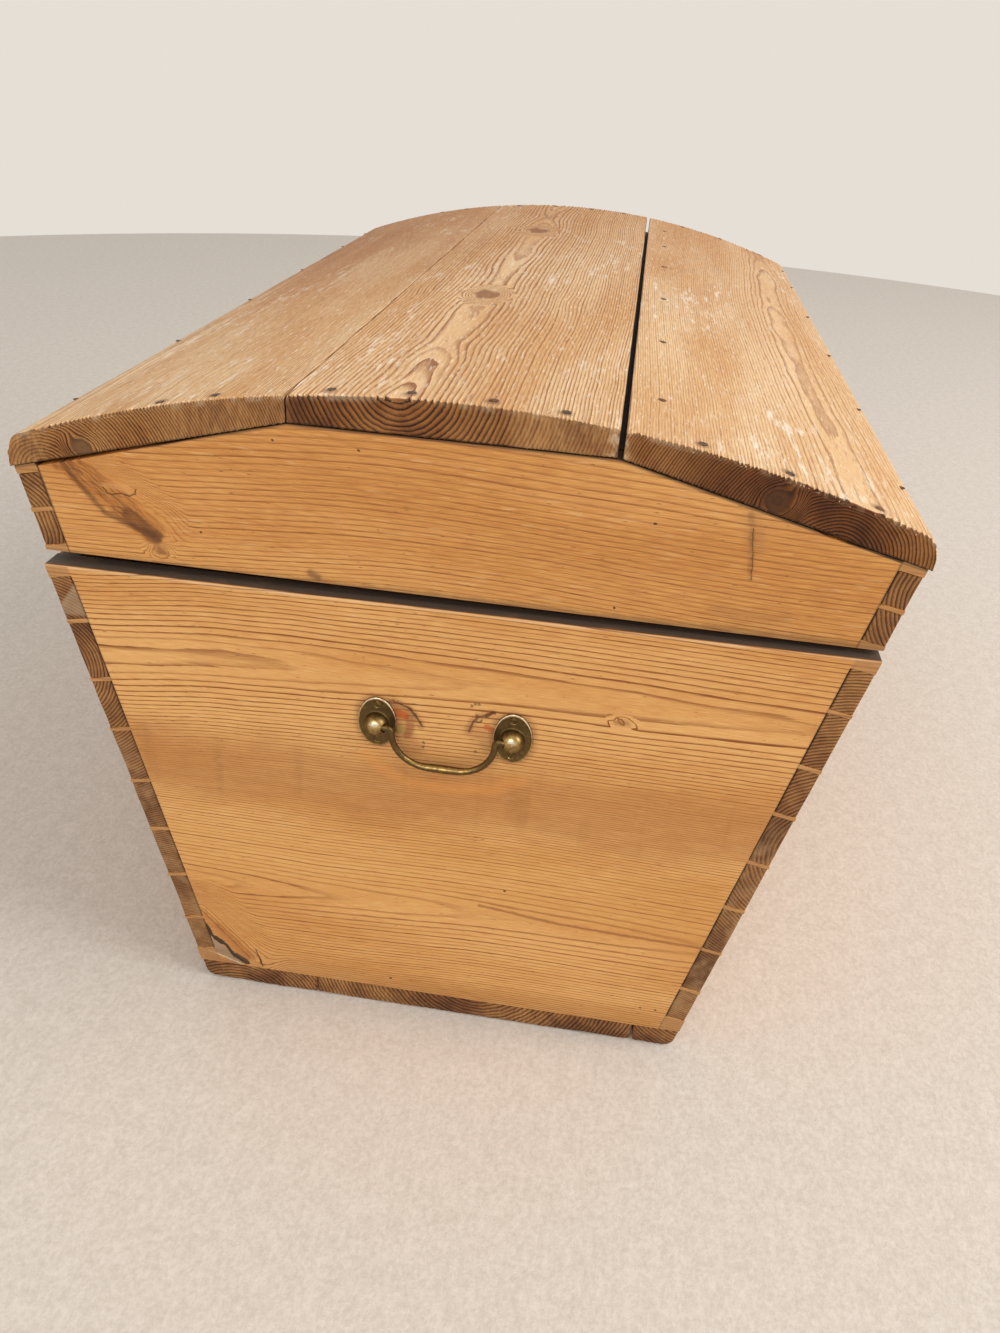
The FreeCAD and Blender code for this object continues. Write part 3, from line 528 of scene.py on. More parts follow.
# %% [markdown]
# ## Boards as blocks of cells
# A board could be a box with a bevel, but then its dovetails, worn corners and raised grain have no points to
# be made from. So each board is cut like a loaf into cells along, across and through the grain. Cells where
# the neighbour's dovetails go are left out, the outside of what is left becomes the surface, and every point
# can then be moved: to the wall's slope, onto a rounded edge, or down where soft wood has worn away.

# %% Build a board
# Edges that turn more than this stay sharp.
BOARD_SHARP = math.radians(38)
ROUND_SHARP = math.radians(50)


def steps(start, end, step, edge=()):
    """Places from start to end about one step apart, with closer ones near both ends."""
    edge = [e for e in edge if e < (end - start) / 2]
    inner_start = start + (edge[-1] if edge else 0)
    inner_end = end - (edge[-1] if edge else 0)
    count = max(1, round((inner_end - inner_start) / step))
    inner = np.linspace(inner_start, inner_end, count + 1)
    return np.concatenate([[start] * bool(edge), start + np.array(edge[:-1]), inner,
                           end - np.array(edge[:-1][::-1]), [end] * bool(edge)])


def surface_of(cells):
    """The outside of a block of cells: its grid points and its faces."""
    shape = np.array(cells.shape)
    ids = np.arange(np.prod(shape + 1)).reshape(shape + 1)
    padded = np.pad(cells, 1)
    faces = []
    for axis in range(3):
        here = np.moveaxis(padded, axis, 0)
        core = np.moveaxis(ids, axis, 0)
        solid, before = here[1:, 1:-1, 1:-1], here[:-1, 1:-1, 1:-1]
        for turned, found in ((False, solid & ~before), (True, before & ~solid)):
            i, j, k = np.nonzero(found)
            quad = [core[i, j, k], core[i, j, k + 1], core[i, j + 1, k + 1], core[i, j + 1, k]]
            if turned != (axis == 1):
                quad = quad[::-1]
            faces.append(np.stack(quad, 1))
    faces = np.concatenate(faces)
    used, faces = np.unique(faces, return_inverse=True)
    return np.stack(np.unravel_index(used, shape + 1)), faces.reshape(-1, 4)


def round_over(values, spans, radius):
    """Moves points near the edges of a block onto edges rounded to a radius."""
    past = []
    for value, (start, end) in zip(values, spans):
        reach = np.zeros_like(value)
        if start is not None:
            reach = reach + np.minimum(value - start - radius, 0)
        if end is not None:
            reach = reach + np.maximum(value - end + radius, 0)
        past.append(reach)
    longest = np.max(np.abs(past), axis=0)
    length = np.maximum(np.sqrt(sum(p * p for p in past)), 1e-9)
    share = np.where(longest > 0, longest / length, 1.0)
    return [value + p * (share - 1) for value, p in zip(values, past)]


def mesh_object(name, points, faces, material, smooth=BOARD_SHARP):
    """A mesh object from arrays, with its faces turned outwards."""
    a, b, c, d = (points[faces[:, i]] for i in range(4))
    volume = (np.cross(b - a, c - a) * a).sum() + (np.cross(c - a, d - a) * a).sum()
    if volume < 0:
        faces = faces[:, ::-1]
    mesh = bpy.data.meshes.new(name)
    mesh.from_pydata(points.tolist(), [], faces.tolist())
    mesh.shade_smooth()
    mesh.set_sharp_from_angle(angle=smooth)
    mesh.materials.append(material)
    made = bpy.data.objects.new(name, mesh)
    scene.collection.objects.link(made)
    return made


def write_attribute(made, name, kind, values):
    """Stores one value for each point of a mesh."""
    attribute = made.data.attributes.new(name, kind, "POINT")
    field = "value" if kind == "FLOAT" else "vector"
    attribute.data.foreach_set(field, np.ascontiguousarray(values, np.float32).ravel())


def settle(made, body, nodes):
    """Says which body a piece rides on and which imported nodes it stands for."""
    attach(made, body)
    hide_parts(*nodes)
    print(made.name, len(made.data.polygons), "faces")
    return made


def whole_block(*lines):
    """The cells between grid lines along, across and through a board, with none left out."""
    return np.ones([len(line) - 1 for line in lines], bool)


def in_place(x, y, z):
    """The world of a board whose places are those of the trunk already."""
    return x, y, z


GRAIN_SHIFT = np.array([0.37, 0.91, 0.53])


def board(node, body, lines, cells, shape, figure, world, material, seed, carve=None):
    """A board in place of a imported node, from its grid lines. shape gives each point's place along, across and
    through the grain, figure its ring count and marks, carve wears it and world moves it into the trunk."""
    grid, faces = surface_of(cells)
    local = shape([line[index] for line, index in zip(lines, grid)])
    count, knot, worn, dirt = figure(*local)
    if carve:
        local = carve(*local, count)
    points = np.stack(world(*local), 1)
    made = mesh_object(node + "_timber", rest_lid(points) if body == "lid" else points, faces, material)
    write_attribute(made, "ring", "FLOAT", count)
    write_attribute(made, "grain", "FLOAT_VECTOR", np.stack(local, 1) + seed * GRAIN_SHIFT)
    # marks holds knots, wear (negative wear is painted shade in joints and gaps) and dirt.
    write_attribute(made, "marks", "FLOAT_VECTOR", np.stack([knot, worn, dirt], 1))
    return settle(made, body, [node])


print("board functions are ready")

# %% [markdown]
# ## Old pine
# Pine shows pale spring wood that darkens through the summer and stops at a sharp line. The fraction of the
# ring count is exactly that slope, so the line comes from it, and the whole part of the count gives each ring
# a darkness of its own. Fibres, resin specks, wear and dirt are laid over it. The end of a board is darker
# and rougher: it shows where the surface faces along the grain, which the object's own normal tells, also
# when the lid is open.

# %% Pine material
DRY_WOOD_SHINE = 0.35
PINE_BUMP = (0.7, 0.0005)


def pine(name, tones, axis, line=0.8, line_from=0.5, pale=0.0, gloss=0.55, grime="3a291c", details=None):
    """tones: spring wood, a warmer tone, summer lines, end grain and its lines, worn edges. Where the mark for
    wear is negative the wood gets painted shade, nearly black, in joints, cracks and gaps, and where the one for
    knots is negative its rings are faint."""
    spring, warm, summer, end_spring, end_summer, worn_tone = tones
    material, tree = new_material(name)
    grain = stored(tree, "grain", "Vector")
    knot, worn, dirt = (axis_of(stored(tree, "marks", "Vector"), mark) for mark in "XYZ")
    calm = (0.0 - knot).most(0.0)
    knot = knot.most(0.0)
    end = abs(facing(tree, axis)).rise(0.55, 0.8)

    fibre = cloud(grain, (14.0, 700.0, 700.0), 3.0, 0.6)
    hair = cloud(grain, (60.0, 2600.0, 2600.0), 2.0)
    drift = cloud(grain, (7.0, 70.0, 70.0), 2.0)
    count = stored(tree, "ring") + (drift - 0.5) * 0.7 + (fibre - 0.5) * 0.24
    own = add_node(tree, "TexWhiteNoise", {"noise_dimensions": "1D"}, {"W": count.whole()}, "Value")
    share = count.part()
    late = share.rise(line_from, 0.92) * share.rise(1.0, 0.95)
    lines = late * (own * 0.65 + 0.5) * (1.0 - calm * 0.72)

    blotch = cloud(grain, (2.6, 15.0, 15.0), 3.0, 0.55)
    fleck = cloud(grain, (45.0, 420.0, 420.0), 1.0).rise(0.66, 0.74)
    speck = cloud(grain, (150.0, 900.0, 900.0), 0.0).rise(0.79, 0.84)
    face = lay(mix(blotch.rise(0.34, 0.68), spring, warm),
               (lines * line * (1.25 - blotch * 0.5), summer),
               ((fibre - 0.5) * 0.5 + 0.5, mix(hair.rise(0.3, 0.75), "6f4a2c", "ffe9c6"), "SOFT_LIGHT"),
               (fleck * 0.2, "f0cf9c"), (speck * 0.55, "5d3a20"))
    if pale:
        flecks = cloud(grain, (70.0, 500.0, 500.0), 2.0, 0.6)
        dust = cloud(grain, (22.0, 130.0, 130.0), 5.0, 0.75).rise(0.52, 0.66)
        zone = cloud(grain, (4.0, 11.0, 11.0), 3.0).rise(0.47, 0.62)
        face = lay(face, (flecks.rise(0.58, 0.70) * 0.5, "f6e8d2"), (flecks.rise(0.40, 0.28) * 0.4, "8f5a2b"),
                   (dust * zone * pale, "f4e6d2"))

    end_lines = (share.rise(0.25, 0.85) * share.rise(1.0, 0.94)) * (own * 0.35 + 0.72)
    soot = cloud(grain, (40.0, 90.0, 90.0), 4.0, 0.65)
    sawn = cloud(grain, (200.0, 420.0, 420.0), 3.0, 0.7)
    zones = cloud(grain, (20.0, 17.0, 17.0), 3.0, 0.6)
    cut_end = lay(mix(end_lines, end_spring, end_summer),
                  (zones.rise(0.42, 0.66) * 0.75, mix(end_lines, "bf935f", "6f4a2b")),
                  (zones.rise(0.50, 0.30) * 0.7, mix(end_lines, "6b4526", "2a180d")),
                  (sawn, mix(soot, "3e2a1b", "d9bd94"), "SOFT_LIGHT"), (sawn.rise(0.60, 0.72) * 0.35, "3b2616"))

    knot_tone = mix(fibre, mix(end, "6e4527", "4e3420"), mix(end, "a2683a", "7d5a3c"))
    # The last coat is painted shade, nearly black, where the wear mark is negative: in joints, cracks and gaps.
    wood = lay(mix(end, face, cut_end), (knot * 0.85, knot_tone),
               (worn.most(0.0) * (0.45 + fibre * 0.7), worn_tone), (dirt * (0.6 + soot * 0.6), grime),
               ((0.0 - worn).most(0.0), mix(soot, "0f0a07", "2b1c11")))
    rough = gloss + end * 0.25 - lines * 0.08 + (fibre - 0.5) * 0.12
    height = lines * 0.45 + fibre * 0.35 + hair * 0.15 - speck * 0.4 + end_lines * end * 0.5 + sawn * end * 0.6
    if details:
        wood, height = details(tree, wood, height, fibre)
    finish_material(tree, {"Base Color": wood, "Roughness": rough, "Specular IOR Level": DRY_WOOD_SHINE},
                    height, *PINE_BUMP)
    return material


AMBER = ("dfae72", "cd9657", "8a5326", "a9723f", "432711", "e6cda8")
LID_AMBER = ("d8a466", "c68d4e", "8d582a") + AMBER[3:]
BLEACHED = ("e6c6a0", "d4a878", "97653a", "a5713f", "2f190b", "e8d2b2")
WALLS = ("d8a96b", "c68f51", "8a5527", "96693f", "432913", "dcc4a0")
SHADED = ("b98a55", "a5753f", "7a5029", "8a5d37", "22130a", "c8a981")
EDGE_GRIME = "51443a"

print("pine tones", len(AMBER))

# %% [markdown]
# ## Scars that are drawn one by one
# Some marks are the trunk's own story: cracks, a split corner, the ghost of an older handle. Noise can't put
# them where they are. They could be painted as an image, but a line of points in the board's own plane, and
# the distance from a spot on the wood to that line, gives a mark with a sharp or soft edge at any scale.

# %% Strokes on a board
MM_PER_M = 1000


def on_board(tree, ragged=0.0):
    """Where a spot is across and up the trunk's end, in metres, shifted a little by noise for ragged edges."""
    place = stretch(spot(tree), (0.0, 1.0, 1.0))
    if not ragged:
        return place
    shift = add_node(tree, "TexNoise", {}, {"Vector": place, "Scale": 160.0, "Detail": 3.0}, "Color")
    shift = vector_math("SUBTRACT", shift, (0.5, 0.5, 0.5))
    return vector_math("ADD", place, stretch(shift, (0.0, ragged, ragged)))


def stroke(place, points, wide, soft):
    """1 within this many millimetres of a line, falling to 0 over the soft distance. Each of the line's points
    is across and up in millimetres."""
    nearest = None
    for (y0, z0), (y1, z1) in zip(points, points[1:]):
        way = (0.0, (y1 - y0) / MM_PER_M, (z1 - z0) / MM_PER_M)
        length2 = way[1] ** 2 + way[2] ** 2
        start = vector_math("SUBTRACT", place, (0.0, y0 / MM_PER_M, z0 / MM_PER_M))
        share = vector_math("DOT_PRODUCT", start, (0.0, way[1] / length2, way[2] / length2), "Value")
        foot = add_node(place.tree, "VectorMath", {"operation": "SCALE"},
                        {0: way, "Scale": share.most(0.0).least(1.0)})
        away = vector_math("DISTANCE", start, foot, "Value")
        nearest = away if nearest is None else nearest.least(away)
    return nearest.rise((wide + soft) / MM_PER_M, wide / MM_PER_M)


def most_of(place, *strokes):
    """The strongest of several strokes. Each has its line, how wide and soft it is, and its strength."""
    marks = None
    for points, wide, soft, strength in strokes:
        mark = stroke(place, points, wide, soft) * strength
        marks = mark if marks is None else marks.most(mark)
    return marks


def dots(place, spots, wide):
    """Small holes and specks."""
    return most_of(place, *((((y, z), (y + 0.3, z)), wide * 0.4, wide, 1.0) for y, z in spots))


def draw(place, wood, *strokes):
    """Lays strokes over the wood. Each has its line, how wide and soft it is, its strength and its tone."""
    return lay(wood, *((stroke(place, points, wide, soft) * strength, tone)
                       for points, wide, soft, strength, tone in strokes))


print("strokes are ready")

# %% [markdown]
# ## The scars of the right end
# The end that faces the camera has a band darkened by hands above the middle, scars round the handle, a painted
# shadow round each rose, a corner that split and was glued, and small cracks. Broad tones come from noise and
# height, and each scar or shadow from its own stroke. Wood is darkest in a crack, so the cracks are laid on last
# and also go down in the height for the bump.

# %% Scars of the end boards
GHOST_ARC = ((-62, 294), (-52, 283), (-29, 271), (5, 269), (41, 275), (64, 286))
CRESCENT = ((-45, 346), (-40, 348), (-30, 345), (-23, 338), (-18, 328))
RIGHT_CRACKS = ((20, 330), (23, 340), (27, 344), (33, 345), (38, 349))
RIGHT_LOOP = ((30, 341), (27, 338), (24, 340))
TEAR_DOTS = ((21, 353), (27, 355), (24, 355), (-16, 312), (-17, 308), (27, 309))
SPLIT_EDGE = ((-222, 88), (-206, 68), (-192, 50), (-180, 34))
SPLIT_PIECE = ((-220, 80), (-206, 62), (-192, 43), (-184, 34))
SPLIT_TOP = ((-221, 69), (-217, 60))
SPLIT_CRACK = ((-220, 67), (-216, 58), (-210, 52), (-202, 46), (-196, 35), (-189, 29), (-182, 26))
GREY_WEDGE = ((-217, 50), (-206, 37), (-194, 27))
PALE_EDGE = ((-220, 35), (-208, 31), (-190, 24))
ROSE_MIDDLES = (-52.5, 55.2)
CRACK_TONE = "24150c"
PIN_TONES = ("875a33", "bd8f60")
WALL_AT_ZERO = WALL_FOOT_Y - BOTTOM_TOP * WALL_TAN - WALL_LEVEL_T


def darker_pins(tree, wood, place, fibre):
    """A darker tone where an end board's pins lie over the walls."""
    inside = WALL_AT_ZERO + axis_of(place, "Z") * WALL_TAN
    over_wall = (abs(axis_of(place, "Y")) - inside).rise(-0.001, 0.001)
    return mix(over_wall * on_right_end(tree) * 0.6, wood, mix(fibre, *PIN_TONES))


def end_scars_and_rose_shadow(tree, wood, height, fibre):
    """The marks of the trunk's right end: a darker band, the handle's ghost and scars, a painted shadow round
    each rose, and the split corner.
    """
    place, torn = on_board(tree, 0.0025), on_board(tree, 0.0065)
    up = axis_of(place, "Z")
    uneven = cloud(place, (1.0, 9.0, 22.0), 3.0, 0.6) - 0.5
    rubbed = cloud(place, (1.0, 30.0, 90.0), 4.0, 0.65)
    band = (up + uneven * 0.05).rise(0.215, 0.245) * (up + uneven * 0.06).rise(0.315, 0.275)
    bars = cloud(place, (1.0, 55.0, 5.0), 2.0).rise(0.54, 0.72)
    low_band = (up + uneven * 0.03).rise(0.225, 0.19) * (up + uneven * 0.03).rise(0.12, 0.15)
    wood = lay(wood, (band * (0.10 + rubbed * 0.85), "b0733c"), (bars * band * (0.12 + rubbed * 0.25), "94602f"),
               (band * rubbed.rise(0.55, 0.7) * 0.35, "d5a068"), (low_band * 0.2, "d8a055"))

    wood = draw(place, wood,
                (GHOST_ARC, 2.0, 7.0, 0.2 + fibre * 0.3, "e09347"),
                (((-36, 330), (-30, 316), (-24, 306)), 3.0, 9.0, 0.4, "a2663a"),
                (((24, 330), (34, 324), (38, 318)), 3.0, 9.0, 0.35, "a2683c"),
                (((-42, 344), (-28, 341)), 1.5, 4.0, 0.5, "a3622f"),
                (((-38, 338), (-31, 336)), 2.6, 2.0, 0.85, "b85418"),
                (((-27, 334), (-26, 326), (-29, 318)), 1.5, 4.0, 0.6, "8a4a26"),
                (((34, 335), (38, 333)), 1.2, 3.0, 0.8, "bb5c20"))
    wood = draw(on_board(tree), wood, (((-35.1, 322.6), (-34.7, 322.6)), 4.2, 0.6, 0.85, "a88a45"))
    wood = draw(place, wood,
                (CRESCENT, 2.0, 3.0, 0.35, "7b4a28"),
                # A painted shadow round each rose.
                *((((y, 321), (y, 335)), 15.0, 6.0, 0.2 + rubbed * 0.4, "76492a") for y in ROSE_MIDDLES),
                (RIGHT_CRACKS, 1.0, 4.0, 0.4, "8a5530"))

    tears = most_of(torn, (CRESCENT[1:], 0.1, 1.0, rubbed.rise(0.25, 0.5)), (CRESCENT[2:], 0.3, 1.2, 0.9),
                    (CRESCENT[:3], 0.1, 2.2, 0.5), (RIGHT_CRACKS, 0.2, 1.3, 0.85), (RIGHT_LOOP, 0.2, 1.1, 0.8),
                    (((33, 345), (39, 349)), 0.7, 1.5, rubbed.rise(0.3, 0.5)))
    tears = tears.most(dots(torn, TEAR_DOTS, 1.3) * 0.7)
    wood = mix(tears * 0.85, wood, mix(rubbed.rise(0.35, 0.6), "260d03", "5e2a0e"))

    wood = draw(place, wood,
                (SPLIT_PIECE, 4.0, 1.6, 1.0, mix(fibre, "a8652e", "d89a55")),
                (((-206, 70), (-190, 50), (-178, 36)), 2.0, 6.0, 0.2 + fibre * 0.5, "a5622c"),
                (GREY_WEDGE, 5.5, 1.5, 0.85, mix(rubbed, "7f6a55", "b09678")),
                (((-222, 27), (-210, 25), (-196, 20)), 3.0, 1.5, 0.7, "b1703a"),
                (PALE_EDGE, 0.4, 0.8, 0.9, "dcc3a0"),
                (SPLIT_EDGE, 0.2, 1.2, rubbed.rise(0.3, 0.6) * 0.45, "6a3f1e"),
                (((37, 145), (109, 136), (188, 133), (231, 132)), 0.4, 2.2, 0.6, "7f3f22"))
    cracks = most_of(place, (SPLIT_CRACK, 1.2, 1.2, 1.0), (SPLIT_TOP, 2.6, 1.0, 1.0),
                     (((-212, 54), (-206, 49)), 2.2, 1.2, 1.0), (((-194, 34), (-184, 27)), 2.2, 2.2, 0.9),
                     (((-173, 46), (-170, 35), (-168, 25)), 0.1, 0.9, 0.8))
    cracks = cracks.most(dots(place, ((58, 166), (-43, 35), (190, 46), (204, 46)), 1.0))
    foot = up.rise(0.05, 0.028) * (axis_of(place, "Y").rise(-0.24, -0.1) * 0.4 + 0.4)
    wood = mix(foot * 0.3 * on_right_end(tree), wood, "8d6237")
    wood = mix(cracks * 0.92, darker_pins(tree, wood, place, fibre), CRACK_TONE)
    return wood, height - (cracks + tears) * 2.0


SPIKE_KNOT = ((-284, 515), (-267, 503), (-250, 490), (-236, 478), (-224, 467))
SPIKE_EDGE = ((-286, 513), (-273, 496), (-259, 478), (-241, 470), (-223, 464))
SPIKE_CRACK = ((-257, 497), (-254, 493.5), (-250, 492.3), (-243, 494), (-238, 493), (-233, 494.5), (-232, 498))
SPIKE_WAY = (0.0, 0.781, -0.625)
SPIKE_CROSS = (0.0, 0.625, 0.781)


def lid_scars(tree, wood, height, fibre):
    """The marks of the lid's right end: a knot cut along its length, a crack, and two stains."""
    place = on_board(tree, 0.003)
    streaks = cloud(place, (1.0, 60.0, 60.0), 4.0, 0.7)
    turned = add_node(tree, "CombineXYZ", {}, {0: vector_math("DOT_PRODUCT", place, SPIKE_WAY, "Value"),
                                               1: vector_math("DOT_PRODUCT", place, SPIKE_CROSS, "Value")})
    fibres = cloud(turned, (70.0, 420.0, 1.0), 4.0, 0.65)
    wood = draw(place, wood,
                (SPIKE_KNOT, 8.0, 4.5, 0.55 + streaks * 0.4, mix(fibres.rise(0.36, 0.62), "6e3a14", "c07a34")),
                (((-250, 505), (-232, 490), (-214, 470)), 2.0, 7.0, 0.35, "cf8c48"),
                (SPIKE_EDGE, 0.4, 3.6, 0.30 + fibres * 0.7, "5a2f12"),
                (((-240, 477), (-228, 467), (-222, 463)), 4.0, 4.0, 0.3 + fibres * 0.6, "5c3316"),
                (((-228, 466), (-221, 462)), 1.5, 4.0, 0.6, "5e3a20"),
                (((-104, 447), (-99, 444)), 1.0, 4.0, 0.65, "6d4a2c"),
                (((202, 529), (206, 510), (210, 482)), 0.3, 3.0, streaks.rise(0.3, 0.6) * 0.45, "5a3a22"),
                (((204, 528), (208, 505)), 2.0, 9.0, 0.25, "8a5f38"),
                (((190, 455), (215, 452), (240, 455)), 1.0, 9.0, 0.25, "8a5f38"))
    foot = (axis_of(place, "Z") + (streaks - 0.5) * 0.006).rise(0.4455, 0.4395)
    wood = draw(place, mix(foot * 0.45, wood, "5c4530"), (((-255, 499), (-238, 499)), 1.0, 2.5, 0.3, "e2ac6e"))
    wood = darker_pins(tree, wood, place, fibre)
    cracks = most_of(place, (SPIKE_CRACK, 0.1, 0.9, 0.35 + streaks * 0.8),
                     (((205, 518), (208, 500), (211, 481)), 0.0, 0.6, streaks.rise(0.3, 0.5) * 0.7))
    cracks = cracks.most(dots(place, ((-127, 546), (-66, 545), (-186, 470), (120, 447), (140, 515)), 0.9))
    return mix(cracks * 0.9, wood, "301a0d"), height - cracks * 1.5


print("split corner drawn with", len(SPLIT_CRACK), "points")

# %% [markdown]
# ## Chest walls
# Four wide boards lean outwards and meet in dovetails: the long walls carry the tails, whose dark end grain
# shows on the trunk's ends, and the end boards carry pins so slim that they show as pale lines. The rows of
# cells follow the joint, so tails and pins come from the same rows, one board keeping the cells that the other
# leaves out. The tails are a little smaller than their sockets, which leaves the hairline gap of an old joint,
# and painted shade darkens it.

# %% Rows that follow a dovetailed corner
PIN_TIP = 0.003
CHEST_PIN_SHARES = (0.130, 0.257, 0.384, 0.511, 0.638, 0.754, 0.881)
CHEST_TAIL_SHARES = (0.036, 0.973)
CHEST_SLANT = (CHEST_TOP - BOTTOM_TOP) / math.cos(LEAN)
END_T = CHEST_END - END_IN
ROW_STEP = 0.0045
EDGE_STEPS = (0.0008, 0.0018, 0.0032, 0.005)
FACE_STEPS = (0.0008, 0.002)
ROWS_NEAR_TOP = np.array([0.0032, 0.0021, 0.0013, 0.0007])
TAIL_SLOPE = 1 / 6


class Corner:
    """The rows of cells of a dovetailed corner, from the foot of a wall to its top edge."""

    def __init__(self, foot, slant, pins, tails, end_in, end_t, top_tilt, seed):
        cuts = [tails[0] * slant]
        for share in pins:
            cuts += [share * slant - PIN_TIP / 2, share * slant + PIN_TIP / 2]
        cuts.append(tails[1] * slant)
        self.foot, self.slant, self.end_in, self.end_t = foot, slant, end_in, end_t
        self.outer = np.array([0.0] + cuts + [slant])
        self.sign = np.array([0] + [1, -1] * (len(cuts) // 2) + [0])
        self.inner = self.outer + self.sign * end_t * TAIL_SLOPE
        self.slack = 0.0003 + 0.0004 * np.random.default_rng(seed).random(len(self.outer)) ** 2
        rows, tail = [], []
        for i in range(len(self.outer) - 1):
            count = max(3, round((self.outer[i + 1] - self.outer[i]) / ROW_STEP))
            shares = np.arange(count) / count
            if i == len(self.outer) - 2:
                near_top = 1 - ROWS_NEAR_TOP / (self.outer[-1] - self.outer[-2])
                shares = np.concatenate([shares[shares < near_top[0] - 0.02], near_top])
            rows.append(i + shares)
            tail += [i % 2 == 1] * len(shares)
        self.rows = np.concatenate(rows + [[len(self.outer) - 1]])
        self.tail = np.array(tail)
        self.tilt_at = ([0, cuts[0], cuts[-1], slant], [0, 1, 1, top_tilt])

    def up(self, row, near_end, slack=0.0):
        """Place up the slope of a row, from the board's body (0) to the trunk's end (1)."""
        index = np.arange(len(self.outer))
        body = np.interp(row, index, self.inner)
        tip = np.interp(row, index, self.outer + self.sign * self.slack * slack)
        return body + (tip - body) * near_end

    def height(self, up, depth):
        """Height of a point up the slope and in from the wall's outer face."""
        tilt = np.interp(up, *self.tilt_at)
        return self.foot + up * math.cos(LEAN) + depth * math.sin(LEAN) * tilt


chest_corner = Corner(BOTTOM_TOP, CHEST_SLANT, CHEST_PIN_SHARES, CHEST_TAIL_SHARES, END_IN, END_T, 0.0, 3)
print("rows", len(chest_corner.rows), "tails", len(CHEST_PIN_SHARES) + 1)

# %% [markdown]
# ### Front and back
# The two long walls are sawn from wide boards whose pith lay outside their faces, so their figure is nearly
# straight. Cells between the tails are left out for the pins, and the front wall leaves out a few more for
# its keyhole. The keyhole could be cut with a Boolean modifier, but left-out cells keep the wood's stored
# values in order.

# %% Long boards of a dovetailed frame
def long_board(node, body, side, corner, end, figure, seed, keyhole=None, foot_r=None):
    """A wall or rail with tails at both ends, on the front (-1) or the back (1). The keyhole is its width, and
    its lowest and highest place up the wall. foot_r rounds the lower outer edge."""
    extra = [] if keyhole is None else [-keyhole[0] / 2, keyhole[0] / 2]
    along = np.unique(np.concatenate([steps(-end, end, 0.008, EDGE_STEPS + (0.009, 0.0145)),
                                      [-corner.end_in, corner.end_in], extra]))
    through = steps(0, WALL_T, 0.003, FACE_STEPS)
    cells = whole_block(along, corner.rows, through)
    middles = np.abs(along[1:] + along[:-1]) / 2
    cells[np.ix_(middles > corner.end_in, ~corner.tail)] = False
    if keyhole is not None:
        rows_up = corner.up((corner.rows[1:] + corner.rows[:-1]) / 2, 0.0)
        cells[np.ix_(middles < keyhole[0] / 2, (rows_up > keyhole[1]) & (rows_up < keyhole[2]))] = False

    def from_body(x):
        return np.clip((np.abs(x) - corner.end_in) / corner.end_t, 0, 1)

    def shape(raw):
        x, row, depth = raw
        up = corner.up(row, from_body(x), 1.0)
        radius = 0.0016 + 0.0010 * noise(x / 0.03, up / 0.02, seed=seed)
        if foot_r:
            local_r = foot_r * (1 + 1.2 * ease(np.abs(x), end - 0.03, end))
            up, depth = round_over([up, depth], [(0, None), (0, None)], local_r)
        return round_over([x, up, depth], [(-end, end), (None, corner.slant), (0, WALL_T)], radius)

    def carve(x, up, depth, count):
        tail_shift = 0.0004 * (1 + noise(up / 0.04, np.sign(x) * 3.0, seed=seed + 2))
        return [x - np.sign(x) * from_body(x) * tail_shift, up, depth]

    def world(x, up, depth):
        z = corner.height(up, depth)
        return x, side * (half_width(z) - depth / WALL_T * WALL_LEVEL_T), z

    return board(node, body, [along, corner.rows, through], cells, shape, figure, world, wall_pine, seed, carve)


def wall_figure(seed, pith_up, pith_depth, width, knots=(), top=None):
    """Rings of a long board: the pith runs along it, outside its face."""
    def from_end(along, cell, seed):
        return noise(along / cell, seed=seed) - noise(CHEST_END / cell, seed=seed)

    def figure(along, up, depth):
        heart = pith_up + 0.02 * from_end(along, 0.5, seed)
        away = pith_depth + 0.010 * from_end(along, 0.3, seed + 5) + 0.012 * (along - CHEST_END)
        count = rings(up, depth, heart, away, width, 0.5) + wander(along, up, depth, seed)
        count, knot = knots_in(count, along, up, knots)
        dirt = np.zeros_like(count)
        if top is not None:
            dirt = TOP_GRIME * ease(up, top - 0.003, top - 0.0005) * ease(depth, 0.0005, 0.003)
        # Painted shade along the joint, where a tail meets the end board.
        joint_shade = ease(depth, WALL_T - 0.0016, WALL_T - 0.0002) * ease(np.abs(along), END_IN, END_IN + 0.004)
        return count, knot, -joint_shade, dirt
    return figure


def wall_ends(tree, wood, height, fibre):
    """Greyer, plainer end grain on the lower tails, and a pale corner on the top one."""
    place = spot(tree)
    x, y, z = (axis_of(place, axis) for axis in "XYZ")
    end = abs(x).rise(CHEST_END - 0.002, CHEST_END - 0.001)
    smear = cloud(place, (30.0, 60.0, 60.0), 4.0, 0.65)
    grey = end * (z + (smear - 0.5) * 0.06).rise(0.30, 0.255) * smear.rise(0.3, 0.7)
    corner = ((0.0 - y) + (z - 0.405) * 0.75).rise(0.301, 0.297) * y.rise(-0.2, -0.25)
    corner = corner * z.rise(0.389, 0.393) * end
    wood = lay(wood, (grey * 0.5, mix(smear.rise(0.35, 0.65), "84654a", "ad885f")),
               (corner * (0.2 + smear * 0.6), "b99c7c"))
    return wood, height


